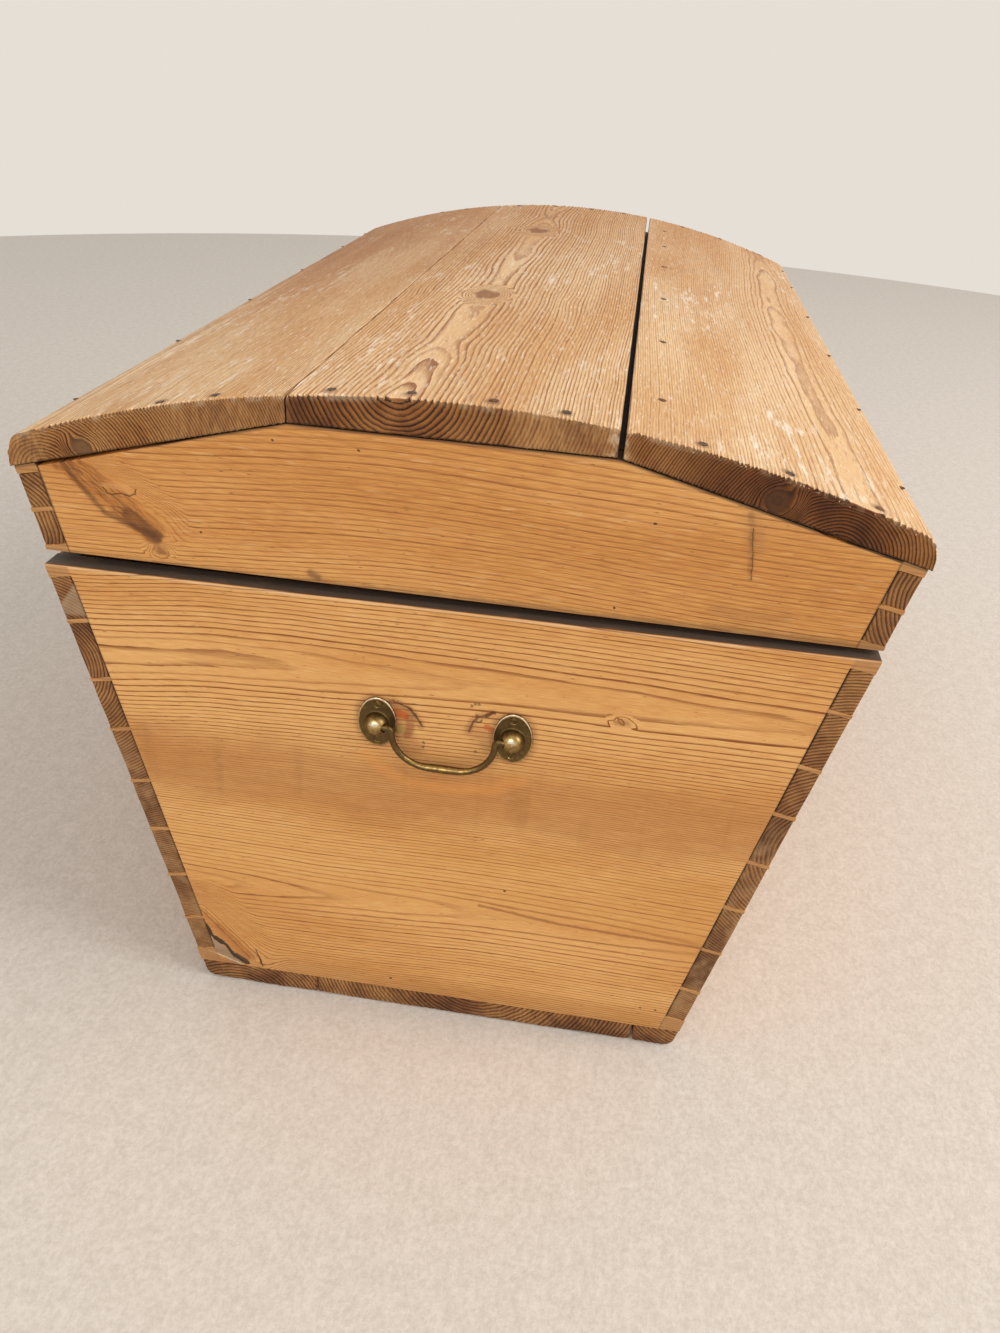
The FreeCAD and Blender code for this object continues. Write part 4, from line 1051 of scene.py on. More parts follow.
TOP_GRIME = 1.15
KEYHOLE = (0.0084, CHEST_SLANT - 0.050, CHEST_SLANT - 0.0315)
FRONT_KNOTS = ((-0.21, 0.17, 0.009, 1.6, 2.5), (0.30, 0.31, 0.012, 1.5, 3.0), (0.02, 0.08, 0.006, 1.5, 2.0))
BACK_KNOTS = ((0.33, 0.12, 0.011, 1.5, 3.0), (-0.11, 0.27, 0.008, 1.7, 2.5), (-0.37, 0.06, 0.006, 1.4, 2.0))
wall_pine = pine("wall_pine", WALLS, "X", line=0.9, line_from=0.6, grime=EDGE_GRIME, details=wall_ends)
long_board("front_board", "chest", -1, chest_corner, CHEST_END,
           wall_figure(1, 0.334, -0.030, 0.0031, FRONT_KNOTS, CHEST_SLANT), 1, KEYHOLE)
long_board("back_board", "chest", 1, chest_corner, CHEST_END,
           wall_figure(2, 0.240, -0.045, 0.0036, BACK_KNOTS, CHEST_SLANT), 2)

# %% [markdown]
# ### The two ends
# An end board is sawn from nearer the pith, so its face shows two hearts, one high and one low, as nested
# arches. Its pins are columns of cells beyond its body that reach through the long walls. Where the figure
# lies flat to the face the rings would be wide and dark, so the calm there is stored with the knots, and the
# pine finish fades them.

# %% End boards of a dovetailed frame
PIN_COLUMNS = np.array([0, 0.06, 0.2, 0.5, 0.8, 1.0])
# How far the painted shade along a joint reaches, from full to none.
JOINT_SHADE_REACH = (0.0004, 0.0011)
END_TIGHTEN = 0.14


def end_board(node, body, end_side, corner, figure, material, seed, top_of=None):
    """A board across the trunk's right (1) or left (-1) end, with pins that reach through the long boards.
    top_of gives the height of its top edge where that isn't level."""
    field = steps(-1, 1, 0.016, (0.002, 0.005, 0.009))
    columns = np.concatenate([-1 - PIN_COLUMNS[:0:-1], field, 1 + PIN_COLUMNS[1:]])
    through = steps(0, corner.end_t, 0.003, (0.0008, 0.0018, 0.0032))
    cells = whole_block(columns, corner.rows, through)
    middles = np.abs(columns[1:] + columns[:-1]) / 2
    cells[np.ix_(middles > 1, corner.tail)] = False

    def shape(raw):
        column, row, depth = raw
        up = corner.up(row, depth / corner.end_t)
        radius = 0.0014 + 0.0008 * noise(column / 0.05, seed=seed)
        top = corner.slant if top_of is None else None
        up, depth = round_over([up, depth], [(None, top), (None, corner.end_t)], radius)
        inset = np.clip(2 - np.abs(column), 0, 1)
        z = corner.height(up, inset * WALL_T)
        y = np.sign(column) * (half_width(z) - inset * WALL_LEVEL_T)
        inside = np.abs(column) <= 1
        slack = 0.0003 + 0.0005 * np.clip(noise(up / 0.03, np.sign(column) * 2.0, seed=seed), 0, 1)
        y = np.where(inside, column * (half_width(z) - WALL_LEVEL_T - slack), y)
        if top_of is not None:
            edge = corner.height(corner.slant, WALL_T)
            share = (z - corner.foot) / (edge - corner.foot)
            top_y = column * (half_width(edge) - WALL_LEVEL_T)
            shrunk = (0.0004 + 0.0022 * ease(-top_y, 0.15, 0.28)
                      + 0.0015 * np.exp(-((top_y - 0.262) / 0.012) ** 2))
            z = np.where(inside, corner.foot + share * (top_of(top_y) - shrunk - corner.foot), z)
        return [y, z, corner.end_in + depth]

    def world(y, z, x):
        return end_side * x, y, z

    return board(node, body, [columns, corner.rows, through], cells, shape, figure, world, material, seed)


def from_joint(y, z):
    """Distance on an end board from the joint with the long boards."""
    return np.abs(np.abs(y) - (half_width(z) - WALL_LEVEL_T))


def end_figure(seed, upper, lower, upper_off, lower_off, tips=(), knots=(), split=None, width=0.0054):
    """Rings of an end board whose face shows two hearts, one high and one low."""
    middle = (upper[0][1] + lower[0][1]) / 2 + 0.005

    def both_hearts(y, z, depth):
        first = rings(z, depth, glide(y, *upper), -np.interp(y, *zip(*upper_off)), width, END_TIGHTEN)
        second = rings(z, depth, glide(y, *lower), -np.interp(y, *zip(*lower_off)), width, END_TIGHTEN)
        joined = 2 * rings(0.125, 0.0, 0.0, 0.0, width, END_TIGHTEN)
        share = ease(z, middle - 0.03, middle + 0.03)
        count = first * share + (joined - second) * (1 - share)
        return count + wander(y, z, CHEST_END - depth, seed, 0.4)

    def figure(y, z, x):
        depth, rise = CHEST_END - x, z - CHEST_TOP
        count = both_hearts(y, z, depth)
        slope = np.hypot(both_hearts(y + 0.001, z, depth) - count, both_hearts(y, z + 0.001, depth) - count)
        for tip_y, tip_z in tips:
            at_tip = both_hearts(*(np.array([v]) for v in (tip_y, tip_z, 0.0)))[0]
            count = count + np.exp(-((z - tip_z) / 0.07) ** 2) * (round(at_tip) - at_tip)
        if split:
            count = along_split(count, y, z, *split)
        count, knot = knots_in(count, y, z, knots)
        worn = 0.7 * ease(rise, -0.0024, -0.0012) * (1 - ease(rise, -0.0006, 0.0))
        worn = worn * (0.6 + 0.4 * noise(y / 0.03, seed=seed)) * (1 - ease(depth, 0.001, 0.004))
        dirt = TOP_GRIME * ease(rise, -0.0008, -0.0001) * ease(depth, 0.0006, 0.002)
        knot = knot - (1 - ease(slope, 0.02, 0.11)) * (knot < 0.01)
        # Painted shade along the joint with the long boards, stronger near the top on the front side.
        open_joint_shade = 0.55 + 0.45 * ease(rise, -0.06, -0.03) * (y < 0)
        seam = (1 - ease(from_joint(y, z), *JOINT_SHADE_REACH)) * open_joint_shade * (rise < -0.012)
        return count, knot, worn * (1 - seam) - seam, dirt
    return figure


RIGHT_UPPER = ((-0.30, 0.356), (-0.17, 0.3677), (-0.1138, 0.3693), (0.05, 0.372), (0.30, 0.368))
RIGHT_LOWER = ((-0.27, 0.1285), (-0.1155, 0.1295), (0.05, 0.134), (0.27, 0.130))
RIGHT_UPPER_OFF = ((-0.30, 0.0199), (-0.17, 0.0210), (-0.1138, 0.0222), (0.02, 0.0262), (0.30, 0.030))
RIGHT_LOWER_OFF = ((-0.27, 0.006), (-0.23, 0.0101), (-0.1155, 0.0185), (0.03, 0.0235), (0.27, 0.028))
RIGHT_TIPS = ((-0.1138, 0.3693), (-0.1155, 0.1295))
RIGHT_KNOTS = ((0.137, 0.355, 0.0028, 1.8, 1.2),)
RIGHT_SPLIT = ((-0.2226, 0.0882), (-0.1795, 0.0340), 0.045, 0.0054)
LEFT_UPPER = ((-0.30, 0.330), (-0.05, 0.342), (0.14, 0.336), (0.30, 0.345))
LEFT_LOWER = ((-0.27, 0.150), (0.0, 0.128), (0.27, 0.118))
LEFT_UPPER_OFF = ((-0.30, 0.026), (0.02, 0.020), (0.30, 0.014))
LEFT_LOWER_OFF = ((-0.27, 0.024), (0.10, 0.017), (0.27, 0.022))
LEFT_KNOTS = ((0.155, 0.245, 0.010, 1.5, 2.5), (-0.12, 0.095, 0.006, 1.5, 2.0))
END_LOOKS = {"line": 1.0, "line_from": 0.62, "grime": EDGE_GRIME}
end_board("right_end_board", "chest", 1, chest_corner,
          end_figure(4, RIGHT_UPPER, RIGHT_LOWER, RIGHT_UPPER_OFF, RIGHT_LOWER_OFF, RIGHT_TIPS, RIGHT_KNOTS,
                     RIGHT_SPLIT), pine("right_end_pine", AMBER, "Y", details=end_scars_and_rose_shadow, **END_LOOKS), 4)
end_board("left_end_board", "chest", -1, chest_corner,
          end_figure(5, LEFT_UPPER, LEFT_LOWER, LEFT_UPPER_OFF, LEFT_LOWER_OFF, knots=LEFT_KNOTS),
          pine("left_end_pine", AMBER, "Y", **END_LOOKS), 5)

# %% [markdown]
# ## Bottom boards
# The bottom is three boards nailed up under the walls, with open joints where they have shrunk. Their lower
# outer edges are rounded off. A board's end could be bevelled with a modifier, but here the whole section
# shrinks a little towards the end, which rounds all of its edges at once, the large round as well as the
# small ones.

# %% Boards with plain ends
SMALL_ROUND = 0.0011
FOOT_ROUND = 0.009


def round_drop(near, radius):
    """How far a rounded edge lies below its square corner, this near to the corner."""
    return radius - np.sqrt(np.maximum(radius ** 2 - (radius - np.clip(near, 0, radius)) ** 2, 0))


def shrink_end(value, low_side, high_side, inset):
    """Draws places across a section in towards its middle, most at its edges."""
    off, half = value - (low_side + high_side) / 2, (high_side - low_side) / 2
    return value - np.sign(off) * np.minimum(inset, np.abs(off)) * np.clip(np.abs(off) / half, 0, 1)


def bottom_board(node, y_low, y_high, seed, pith_y, pith_z, width):
    """One board of the bottom, from y_low to y_high at its top."""
    wide = y_high - y_low
    along = steps(-CHEST_END, CHEST_END, 0.008, EDGE_STEPS)
    across = steps(0, wide, 0.004, (0.0008, 0.0018, 0.0035, 0.006, 0.0095))
    through = steps(0, BOTTOM_TOP, 0.0025, (0.0008, 0.0018, 0.0035, 0.006))
    outer = -1 if y_low < -WALL_FOOT_Y + 0.001 else 1 if y_high > WALL_FOOT_Y - 0.001 else 0

    def shape(raw):
        x, v, z = raw
        v, z = round_over([v, z], [(0 if outer >= 0 else None, wide if outer <= 0 else None), (0, BOTTOM_TOP)],
                          SMALL_ROUND)
        if outer:
            v, z = round_over([v, z], [(0, None) if outer < 0 else (None, wide), (0, None)], FOOT_ROUND)
        slip = WALL_FOOT_Y - half_width(z)
        v = v + (slip * (1 - v / wide) if outer < 0 else -slip * v / wide if outer > 0 else 0)
        radius = 0.0018 + 0.0010 * noise(v / 0.03, np.sign(x), seed=seed)
        inset = round_drop(CHEST_END - np.abs(x), radius)
        return [x, shrink_end(y_low + v, y_low, y_high, inset), shrink_end(z, 0, BOTTOM_TOP, inset)]

    def carve(x, y, z, count):
        fresh = 0.0006 * (1 - ease(count - np.floor(count), 0.35, 0.9)) + 0.0009 * np.maximum(
            noise(y / 0.02, z / 0.006, np.sign(x), seed), 0)
        return [x - np.sign(x) * fresh * ease(np.abs(x), CHEST_END - 0.004, CHEST_END - 0.001), y, z]

    board(node, "chest", [along, across, through], whole_block(along, across, through), shape,
          plain_figure(seed, pith_y, pith_z, width, dirty=0.3), in_place, bottom_pine, seed, carve)


def plain_figure(seed, pith_y, pith_z, width, dirty=0.0):
    """Rings of a board whose grain runs along the trunk."""
    def figure(x, y, z):
        heart_y = pith_y + 0.012 * noise(x / 0.45, seed=seed) + 0.010 * x
        heart_z = pith_z + 0.008 * noise(x / 0.3, seed=seed + 5)
        count = rings(y, z, heart_y, heart_z, width, 0.5) + wander(x, y, z, seed)
        dirt = dirty * (0.5 + 0.5 * noise(x / 0.1, y / 0.05, z / 0.01, seed)) * (1 - ease(z, 0.002, 0.014))
        return count, np.zeros_like(count), np.zeros_like(count), dirt
    return figure


bottom_pine = pine("bottom_pine", SHADED, "X")
SPLIT_FRONT, SPLIT_BACK = -WALL_FOOT_Y + 0.114, WALL_FOOT_Y - 0.041
bottom_board("bottom_front_board", -WALL_FOOT_Y, SPLIT_FRONT, 21, -0.20, -0.030, 0.0042)
bottom_board("bottom_middle_board", SPLIT_FRONT + 0.0008, SPLIT_BACK - 0.0026, 22, 0.03, 0.055, 0.0046)
bottom_board("bottom_back_board", SPLIT_BACK, WALL_FOOT_Y, 23, 0.26, 0.080, 0.0042)

# %% [markdown]
# ## The lid's frame
# Two rails and two end boards carry on the slope of the chest and are dovetailed like it, with one pin at
# each corner. Their tops follow the underside of the planks: flat in the middle and falling to both noses.

# %% Rails and end boards of the lid
def rail_top(inset):
    """Height where a line set in from the rail's face meets the planks' underside."""
    slope = (LID_FLAT - NOSE_LOW) / (NOSE_Y - SEAM_Y[0])
    line_y = half_width(0.0) - inset
    return (NOSE_LOW + slope * (NOSE_Y - line_y)) / (1 + slope * WALL_TAN)


LID_SLANT = (rail_top(0.0) - LID_BOTTOM) / math.cos(LEAN)
LID_TOP_TILT = (rail_top(WALL_LEVEL_T) - rail_top(0.0)) / (WALL_T * math.sin(LEAN))
LID_PIN_SHARES = (0.48,)
LID_TAIL_SHARES = (0.05, 0.91)
lid_corner = Corner(LID_BOTTOM, LID_SLANT, LID_PIN_SHARES, LID_TAIL_SHARES, LID_END_IN, LID_END - LID_END_IN,
                    LID_TOP_TILT, 6)


def lid_figure(seed, pith_z, off, width, bows, knots=(), split=None):
    """Rings of a lid end board: straight lines that bow a little."""
    def figure(y, z, x):
        count = rings(z, LID_END - x, pith_z + glide(y, *bows), -off, width, 0.3) + wander(y, z, x, seed, 0.8)
        if split:
            count = along_split(count, y, z, *split)
        count, knot = knots_in(count, y, z, knots)
        # Painted shade along the joints and at the top, in the gap under the planks.
        seam = 0.8 * (1 - ease(from_joint(y, z), *JOINT_SHADE_REACH))
        top = 0.9 * (1 - ease(under_planks(y) - z, 0.0012, 0.0022))
        return count, knot, -np.maximum(seam, top), np.zeros_like(count)
    return figure


RIGHT_BOW = ((-0.292, 0.0), (-0.037, 0.013), (0.297, 0.0))
LEFT_BOW = ((-0.3, 0.0), (0.1, -0.012), (0.3, 0.0))
SPIKE_SPLIT = ((-0.290, 0.514), (-0.222, 0.470), 0.030, 0.0065)
LID_LOOKS = {"line": 0.8, "line_from": 0.58}
long_board("lid_front_rail", "lid", -1, lid_corner, LID_END, wall_figure(7, 0.02, -0.030, 0.0034), 7,
           foot_r=0.0022)
long_board("lid_back_rail", "lid", 1, lid_corner, LID_END, wall_figure(8, 0.05, -0.040, 0.0034), 8,
           foot_r=0.0016)
end_board("lid_right_end_board", "lid", 1, lid_corner,
          lid_figure(9, 0.620, 0.080, 0.0062, RIGHT_BOW, ((-0.2195, 0.4480, 0.0036, 1.5, 0.5),), SPIKE_SPLIT),
          pine("lid_end_pine", LID_AMBER, "Y", details=lid_scars, **LID_LOOKS), 9, under_planks)
end_board("lid_left_end_board", "lid", -1, lid_corner,
          lid_figure(10, 0.380, 0.060, 0.0058, LEFT_BOW, ((0.12, 0.500, 0.008, 1.6, 2.0),)),
          pine("lid_far_end_pine", LID_AMBER, "Y", **LID_LOOKS), 10, under_planks)

# %% [markdown]
# ## The planks of the dome
# Three thick planks are nailed over the frame and planed to one round. Their tops have been scrubbed for a
# century, so the hard summer lines stand proud of the soft wood between them, and at the ends they make a
# ragged edge. The relief could be a bump map alone, but the edge against the end grain needs real points.

# %% Shape the planks
NOSE_TURN_Y = NOSE_Y - NOSE_R
DOME_CENTRE = CROWN - DOME_R
NOSE_TURN_Z = DOME_CENTRE + math.sqrt((DOME_R - NOSE_R) ** 2 - NOSE_TURN_Y ** 2)
NOSE_ANGLE = math.atan2(NOSE_TURN_Z - DOME_CENTRE, NOSE_TURN_Y)
NOSE_TANGENT = DOME_R * math.cos(NOSE_ANGLE)
PLANK_EDGE = (0.0005, 0.0012, 0.0022, 0.0036, 0.0055, 0.0085, 0.0125)
PLANK_LAYERS = np.array([0, 0.05, 0.14, 0.28, 0.42, 0.56, 0.70, 0.82, 0.91, 0.965, 1.0])


def over_nose(y):
    """Height of the dome with its rounded noses."""
    reach = np.abs(y)
    turned = NOSE_TURN_Z + np.sqrt(np.maximum(NOSE_R ** 2 - np.maximum(reach - NOSE_TURN_Y, 0) ** 2, 0))
    return np.where(reach < NOSE_TANGENT, over_planks(np.minimum(reach, NOSE_TANGENT)), turned)


def layer_of(y, z):
    """How far up a plank a point lies, from 0 on its underside to 1 on the dome."""
    return (z - under_planks(y)) / (over_nose(y) - under_planks(y))


def plank(node, y_low, y_high, figure, material, seed, relief):
    """A plank of the dome between two places across the trunk."""
    along = steps(-LID_END, LID_END, 0.0068, PLANK_EDGE)
    across = steps(y_low, y_high, 0.0014, (0.0005, 0.0011, 0.0019, 0.003))
    for side in (-1, 1):
        if max(y_low * side, y_high * side) > NOSE_TURN_Y:
            bend = side * (NOSE_TURN_Y + NOSE_R * np.sin(np.linspace(0, math.pi / 2, 15)))
            across = np.unique(np.concatenate([across[across * side < NOSE_TURN_Y - 0.0005], bend]))

    def shape(raw):
        x, y, layer = raw
        return [x, y, under_planks(y) + layer * (over_nose(y) - under_planks(y))]

    def carve(x, y, z, count):
        layer = np.clip(layer_of(y, z), 0, 1)
        share = count - np.floor(count)
        soft = 1 - ease(share, 0.30, 0.80) * (1 - ease(share, 0.93, 1.0))
        from_end = LID_END - np.abs(x)
        at_end = 1 - ease(from_end, 0.0, 0.004)
        chip = 0.5 + 0.5 * noise(y / 0.012, np.sign(x) * 4, seed=seed)
        drop = round_drop(from_end, 0.0009 + 0.0014 * chip ** 2 + 0.0008 * soft)
        worn_down = 0.0001 + relief * soft * (1 + 0.8 * (1 - ease(from_end, 0.0, 0.05)))
        uneven = 0.5 + 0.5 * noise(y / 0.02, np.sign(x) * 4, seed=seed + 3)
        notch = (0.0003 + 0.0008 * uneven) * soft * at_end
        z = z - (drop * layer ** 2 + (worn_down + notch) * ease(layer, 0.85, 1.0))
        z = z + 0.35 * drop * (1 - layer) ** 4
        x = x - np.sign(x) * at_end * (0.0005 * soft + 0.0003 * chip)
        for place, way in ((y_low, 1), (y_high, -1)):
            if abs(place) < NOSE_TURN_Y:
                edge_r = 0.0014 + 0.0008 * noise(x / 0.03, place, seed=seed)
                z = z - layer ** 4 * round_drop((y - place) * way, edge_r)
        return [x, y, z]

    board(node, "lid", [along, across, PLANK_LAYERS], whole_block(along, across, PLANK_LAYERS), shape, figure,
          in_place, material, seed, carve)


print("dome noses turn at", round(NOSE_TURN_Y, 4))

# %% [markdown]
# ### Figure and finish of the planks
# The middle plank is cut through the heart, so its two knots and the arches round them lie on top. The pith's
# way along it is given as places and heights that the curve eases through. The finish is the bleached pine with
# more grey dust, darker wood far from the near end with painted shade on the front slope, which faces away from
# the daylight lamp, and brown stains round the end's nails.

# %% Cut the planks
END_NAIL_PLACES = (-0.64, -0.52, -0.27, -0.10, 0.07, 0.22, 0.50, 0.68, 0.87)


def plank_figure(seed, pith_y, pith_rise, width, knots=(), swirls=(), end_knots=(), tighten=0.4):
    """Rings of a plank, whose pith lies above or below the dome by an amount that changes along it."""
    def figure(x, y, z):
        from_near = LID_END - x
        heart_y = glide(from_near, *pith_y)
        heart_z = over_planks(heart_y) + glide(from_near, *pith_rise)
        count = rings(y, z, heart_y, heart_z, width, tighten)
        count = swirls_in(count, from_near, y, swirls) + wander(x, y, z, seed)
        count, knot = knots_in(count, from_near, y, knots)
        near = from_near < 0.03
        if end_knots:
            count[near], end_knot = knots_in(count[near], y[near], z[near], end_knots)
            knot[near] = np.maximum(knot[near], end_knot)
        top = ease(layer_of(y, z), 0.8, 1.0)
        chips = ease(noise(y / 0.006, x / 0.003, seed=seed), 0.0, 0.5)
        worn = top * (1 - ease(LID_END - np.abs(x), 0.0004, 0.0016)) * (0.05 + 0.32 * chips)
        frayed = (1 - ease(np.abs(y - BACK_SEAM[0]), 0.002, 0.010)) * (1 - ease(from_near, 0.002, 0.035))
        worn = np.maximum(worn, frayed * ease(noise(x / 0.004, y / 0.002, z / 0.004, seed), -0.1, 0.4))
        # Painted shade in the seams between planks and at the foot of the end, over the gap to the lid's end
        # board.
        from_seam = np.min([np.abs(y - seam) for seam in FRONT_SEAM + BACK_SEAM], axis=0)
        joint_shade = (1 - ease(from_seam, 0.0001, 0.0006)) * (1 - 0.6 * top)
        foot = (1 - ease(z - under_planks(y), 0.0, 0.0009)) * ease(np.abs(x), LID_END - 0.003, LID_END - 0.0008)
        dark = np.maximum(joint_shade, 0.65 * foot)
        return count, knot, worn * (1 - dark) - dark, np.zeros_like(count)
    return figure


def scrubbed_and_shaded(tree, wood, height, fibre):
    """Darker wood away from the near end, painted shade on the front slope, which faces away from the daylight
    lamp, and iron stains round the nails.
    """
    place = spot(tree)
    x, y = axis_of(place, "X"), axis_of(place, "Y")
    drift = cloud(place, (3.0, 5.0, 5.0), 3.0) - 0.5
    # far darkens away from the near end; slope adds painted shade on the front slope, which faces away from the
    # daylight lamp.
    far, slope = (x + drift * 0.4).rise(0.45, -0.35), (y + drift * 0.1).rise(0.0, -0.30)
    from_above = add_node(tree, "CombineXYZ", {}, {1: y, 2: x})
    nails = [(share * NOSE_Y * MM_PER_M, (LID_END - 0.010) * MM_PER_M) for share in END_NAIL_PLACES]
    end = on_right_end(tree)
    clean = (y.rise(0.030, 0.052) * y.rise(0.125, 0.112)).most(y.rise(-0.290, -0.303))
    clean = clean.most(y.rise(-0.215, -0.190) * y.rise(-0.112, -0.117) * 0.7)
    rubbed = cloud(place, (1.0, 300.0, 90.0), 4.0, 0.65)
    wood = lay(wood, (far * (0.26 + slope * 0.40), "b3803a", "MULTIPLY"),
               (dots(from_above, nails, 5.5) * (0.25 + fibre * 0.6), "5a3c28"),
               (end * y.rise(0.130, 0.170) * y.rise(0.315, 0.270), "cfc3b8", "MULTIPLY"),
               (end * (1.0 - clean) * y.rise(-0.118, -0.116), "e2dad2", "MULTIPLY"),
               (end * clean * (0.15 + rubbed * 0.5), mix(rubbed.rise(0.3, 0.7), "8f6540", "cf9f69")))
    return wood, height


middle_plank_pine = pine("middle_plank_pine", BLEACHED, "X", line=1.0, line_from=0.42, pale=0.75, gloss=0.66,
                         details=scrubbed_and_shaded)
side_plank_pine = pine("side_plank_pine", BLEACHED, "X", line=0.68, pale=0.95, gloss=0.66, details=scrubbed_and_shaded)
MIDDLE_PITH = ((0, -0.039), (0.35, -0.033), (0.77, -0.030), (1.044, -0.030))
MIDDLE_RISE = ((0, 0.010), (0.08, 0.016), (0.16, 0.024), (0.3, 0.022), (0.42, 0.025), (0.6, 0.020),
               (0.77, 0.017), (0.9, 0.026), (1.044, 0.020))
MIDDLE_KNOTS = ((0.345, -0.033, 0.011, 1.8, 1.5), (0.77, -0.030, 0.012, 1.7, 1.5))
MIDDLE_SWIRLS = ((0.331, -0.100, 0.035, 0.014, 1.2), (0.340, 0.046, 0.04, 0.014, 1.2),
                 (0.045, -0.053, 0.03, 0.010, 0.8))
FRONT_PITH = ((0, -0.300), (0.5, -0.290), (1.044, -0.310))
FRONT_RISE = ((0, -0.034), (0.5, -0.036), (1.044, -0.03))
BACK_PITH = ((0, 0.262), (0.5, 0.255), (1.044, 0.270))
BACK_RISE = ((0, -0.042), (0.5, -0.040), (1.044, -0.045))
plank("lid_middle_plank", FRONT_SEAM[1], BACK_SEAM[0],
      plank_figure(11, MIDDLE_PITH, MIDDLE_RISE, 0.0047, MIDDLE_KNOTS, MIDDLE_SWIRLS, tighten=0.20),
      middle_plank_pine, 11, 0.0004)
plank("lid_front_plank", -NOSE_Y, FRONT_SEAM[0],
      plank_figure(12, FRONT_PITH, FRONT_RISE, 0.0030, end_knots=((-0.268, 0.522, 0.006, 1.3, 1.2),)),
      side_plank_pine, 12, 0.00025)
plank("lid_back_plank", BACK_SEAM[1], NOSE_Y,
      plank_figure(13, BACK_PITH, BACK_RISE, 0.0028, end_knots=((0.217, 0.5395, 0.0085, 1.0, 2.0),)),
      side_plank_pine, 13, 0.00035)

# %% [markdown]
# ## The batten
# A batten runs under the open crack and holds the two planks together. It could be a box with a bevel, but
# its top has to follow the planks' underside, which breaks downwards at the seam, so it is a board of cells
# like the others.

# %% The batten
BATTEN_SIDES = (0.0885, 0.1605)
BATTEN_T = 0.014


def batten_shape(raw):
    """A batten with rounded edges, hung under the planks."""
    x, y, up = round_over(raw, [(-LID_END_IN, LID_END_IN), BATTEN_SIDES, (0, None)], 0.0015)
    return [x, y, under_planks(y) - BATTEN_T + up]


def batten_figure(x, y, z):
    """A plain board's rings, with painted shade where the batten meets the planks."""
    count, knot, worn, dirt = plain_figure(14, 0.15, 0.60, 0.003)(x, y, z)
    return count, knot, -ease(z - under_planks(y), -0.002, -0.0002), dirt


along = steps(-LID_END_IN, LID_END_IN, 0.010, EDGE_STEPS)
across = np.unique(np.concatenate([steps(*BATTEN_SIDES, 0.004, FACE_STEPS), [SEAM_Y[1]]]))
through = steps(0, BATTEN_T, 0.003, FACE_STEPS)
board("lid_batten", "lid", [along, across, through], whole_block(along, across, through), batten_shape,
      batten_figure, in_place, wall_pine, 14)

# %% [markdown]
# ## Old brass
# Brass that nobody cleans goes olive brown, and hands keep only the proud parts bright. Each round piece stores
# how much it is rubbed, with painted highlights and reflections added on the sides that face the light, as an
# attribute named polish, worked out where its points are made, and noise breaks it up. The dark film is rougher
# than the bare metal, so roughness follows the same value.

# %% Old brass
BRASS_BUMP = (0.35, 0.0003)


def old_brass(name):
    """Brass with a dark film, worn bright and given painted highlights where the polish attribute is high."""
    material, tree = new_material(name)
    rubbed = stored(tree, "rub_and_highlight")
    film = cloud(spot(tree), 260.0, 4.0, 0.6)
    spots = cloud(spot(tree), 900.0, 2.0)
    # The bright mix is bare, rubbed metal with painted highlights, and the pale, less metallic coat where the
    # value is highest is a painted reflection with scuffs.
    bright = (rubbed + film - 0.5).rise(0.15, 0.95)
    scuff_and_highlight = (rubbed + (spots - 0.5) * 0.9).rise(0.70, 1.05)
    metal = lay(mix(bright, mix(film, "4d3d26", "77603a"), "bd9c5c"), (scuff_and_highlight, "efe3cf"),
                (spots.rise(0.62, 0.75) * 0.6, "33291a"), ((0.0 - rubbed).rise(0.1, 0.3) * 0.8, "2a2116"))
    finish_material(tree, {"Base Color": metal, "Metallic": 0.95 - scuff_and_highlight * 0.5,
                           "Roughness": 0.40 - bright * 0.20 + spots * 0.10},
                    film * 0.6 + spots * 0.4, *BRASS_BUMP)
    return material


brass = old_brass("old_brass")
print("brass is ready")

# %% [markdown]
# ## Round pieces as stacks of loops
# Castings and turned pieces could be spun with a Screw modifier, but an oval rose and a bent bail aren't
# round. All of them can be made as a stack of loops with the same number of points, skinned from the first
# loop to the last and closed at both ends. The hollow for the bail's pin and the seats of the screws are then
# cut out.

# %% Skin a stack of loops
def skin(name, loops, material, rub_and_highlight=None):
    """A closed piece over a stack of loops, given as an array of loops, points and axes."""
    loops = np.asarray(loops, float)
    count, around = loops.shape[:2]
    ids = np.arange(count * around).reshape(count, around)
    after = np.roll(ids, -1, axis=1)
    faces = [np.stack([ids[:-1], after[:-1], after[1:], ids[1:]], -1).reshape(-1, 4)]
    for loop, pole in ((ids[0], count * around), (ids[-1][::-1], count * around + 1)):
        ends = np.stack([loop[0::2], np.full(around // 2, pole), np.roll(loop, -2)[0::2], loop[1::2]], -1)
        faces.append(ends)
    points = np.concatenate([loops.reshape(-1, 3), loops[[0, -1]].mean(1)])
    made = mesh_object(name, points, np.concatenate(faces), material, ROUND_SHARP)
    if rub_and_highlight is not None:
        rub_and_highlight = np.broadcast_to(rub_and_highlight, (count, around))
        ends = [rub_and_highlight[0].mean(), rub_and_highlight[-1].mean()]
        write_attribute(made, "rub_and_highlight", "FLOAT", np.concatenate([rub_and_highlight.ravel(), ends]))
    return made


def cut(piece, cutters):
    """Takes the cutters away from a piece for good, and removes them."""
    for cutter in cutters:
        change = piece.modifiers.new("cut", "BOOLEAN")
        change.object = cutter
    shown = piece.evaluated_get(bpy.context.evaluated_depsgraph_get())
    mesh = bpy.data.meshes.new_from_object(shown)
    piece.modifiers.clear()
    piece.data = mesh
    mesh.set_sharp_from_angle(angle=ROUND_SHARP)
    for cutter in cutters:
        bpy.data.objects.remove(cutter)


AROUND = np.linspace(0, 2 * math.pi, 96, endpoint=False)
print("loops of", len(AROUND), "points")

# %% [markdown]
# ## Roses, bosses and screws
# A rose is an oval plate with a hollow round boss, cast in one. Its plate dips a little and swells again to a
# rounded rim. Sections through it give the loops: rings of a ball, the boss's skirt, and then rings that
# change from round to oval. The bail's pin goes in from the side through a hole that wear has opened out.

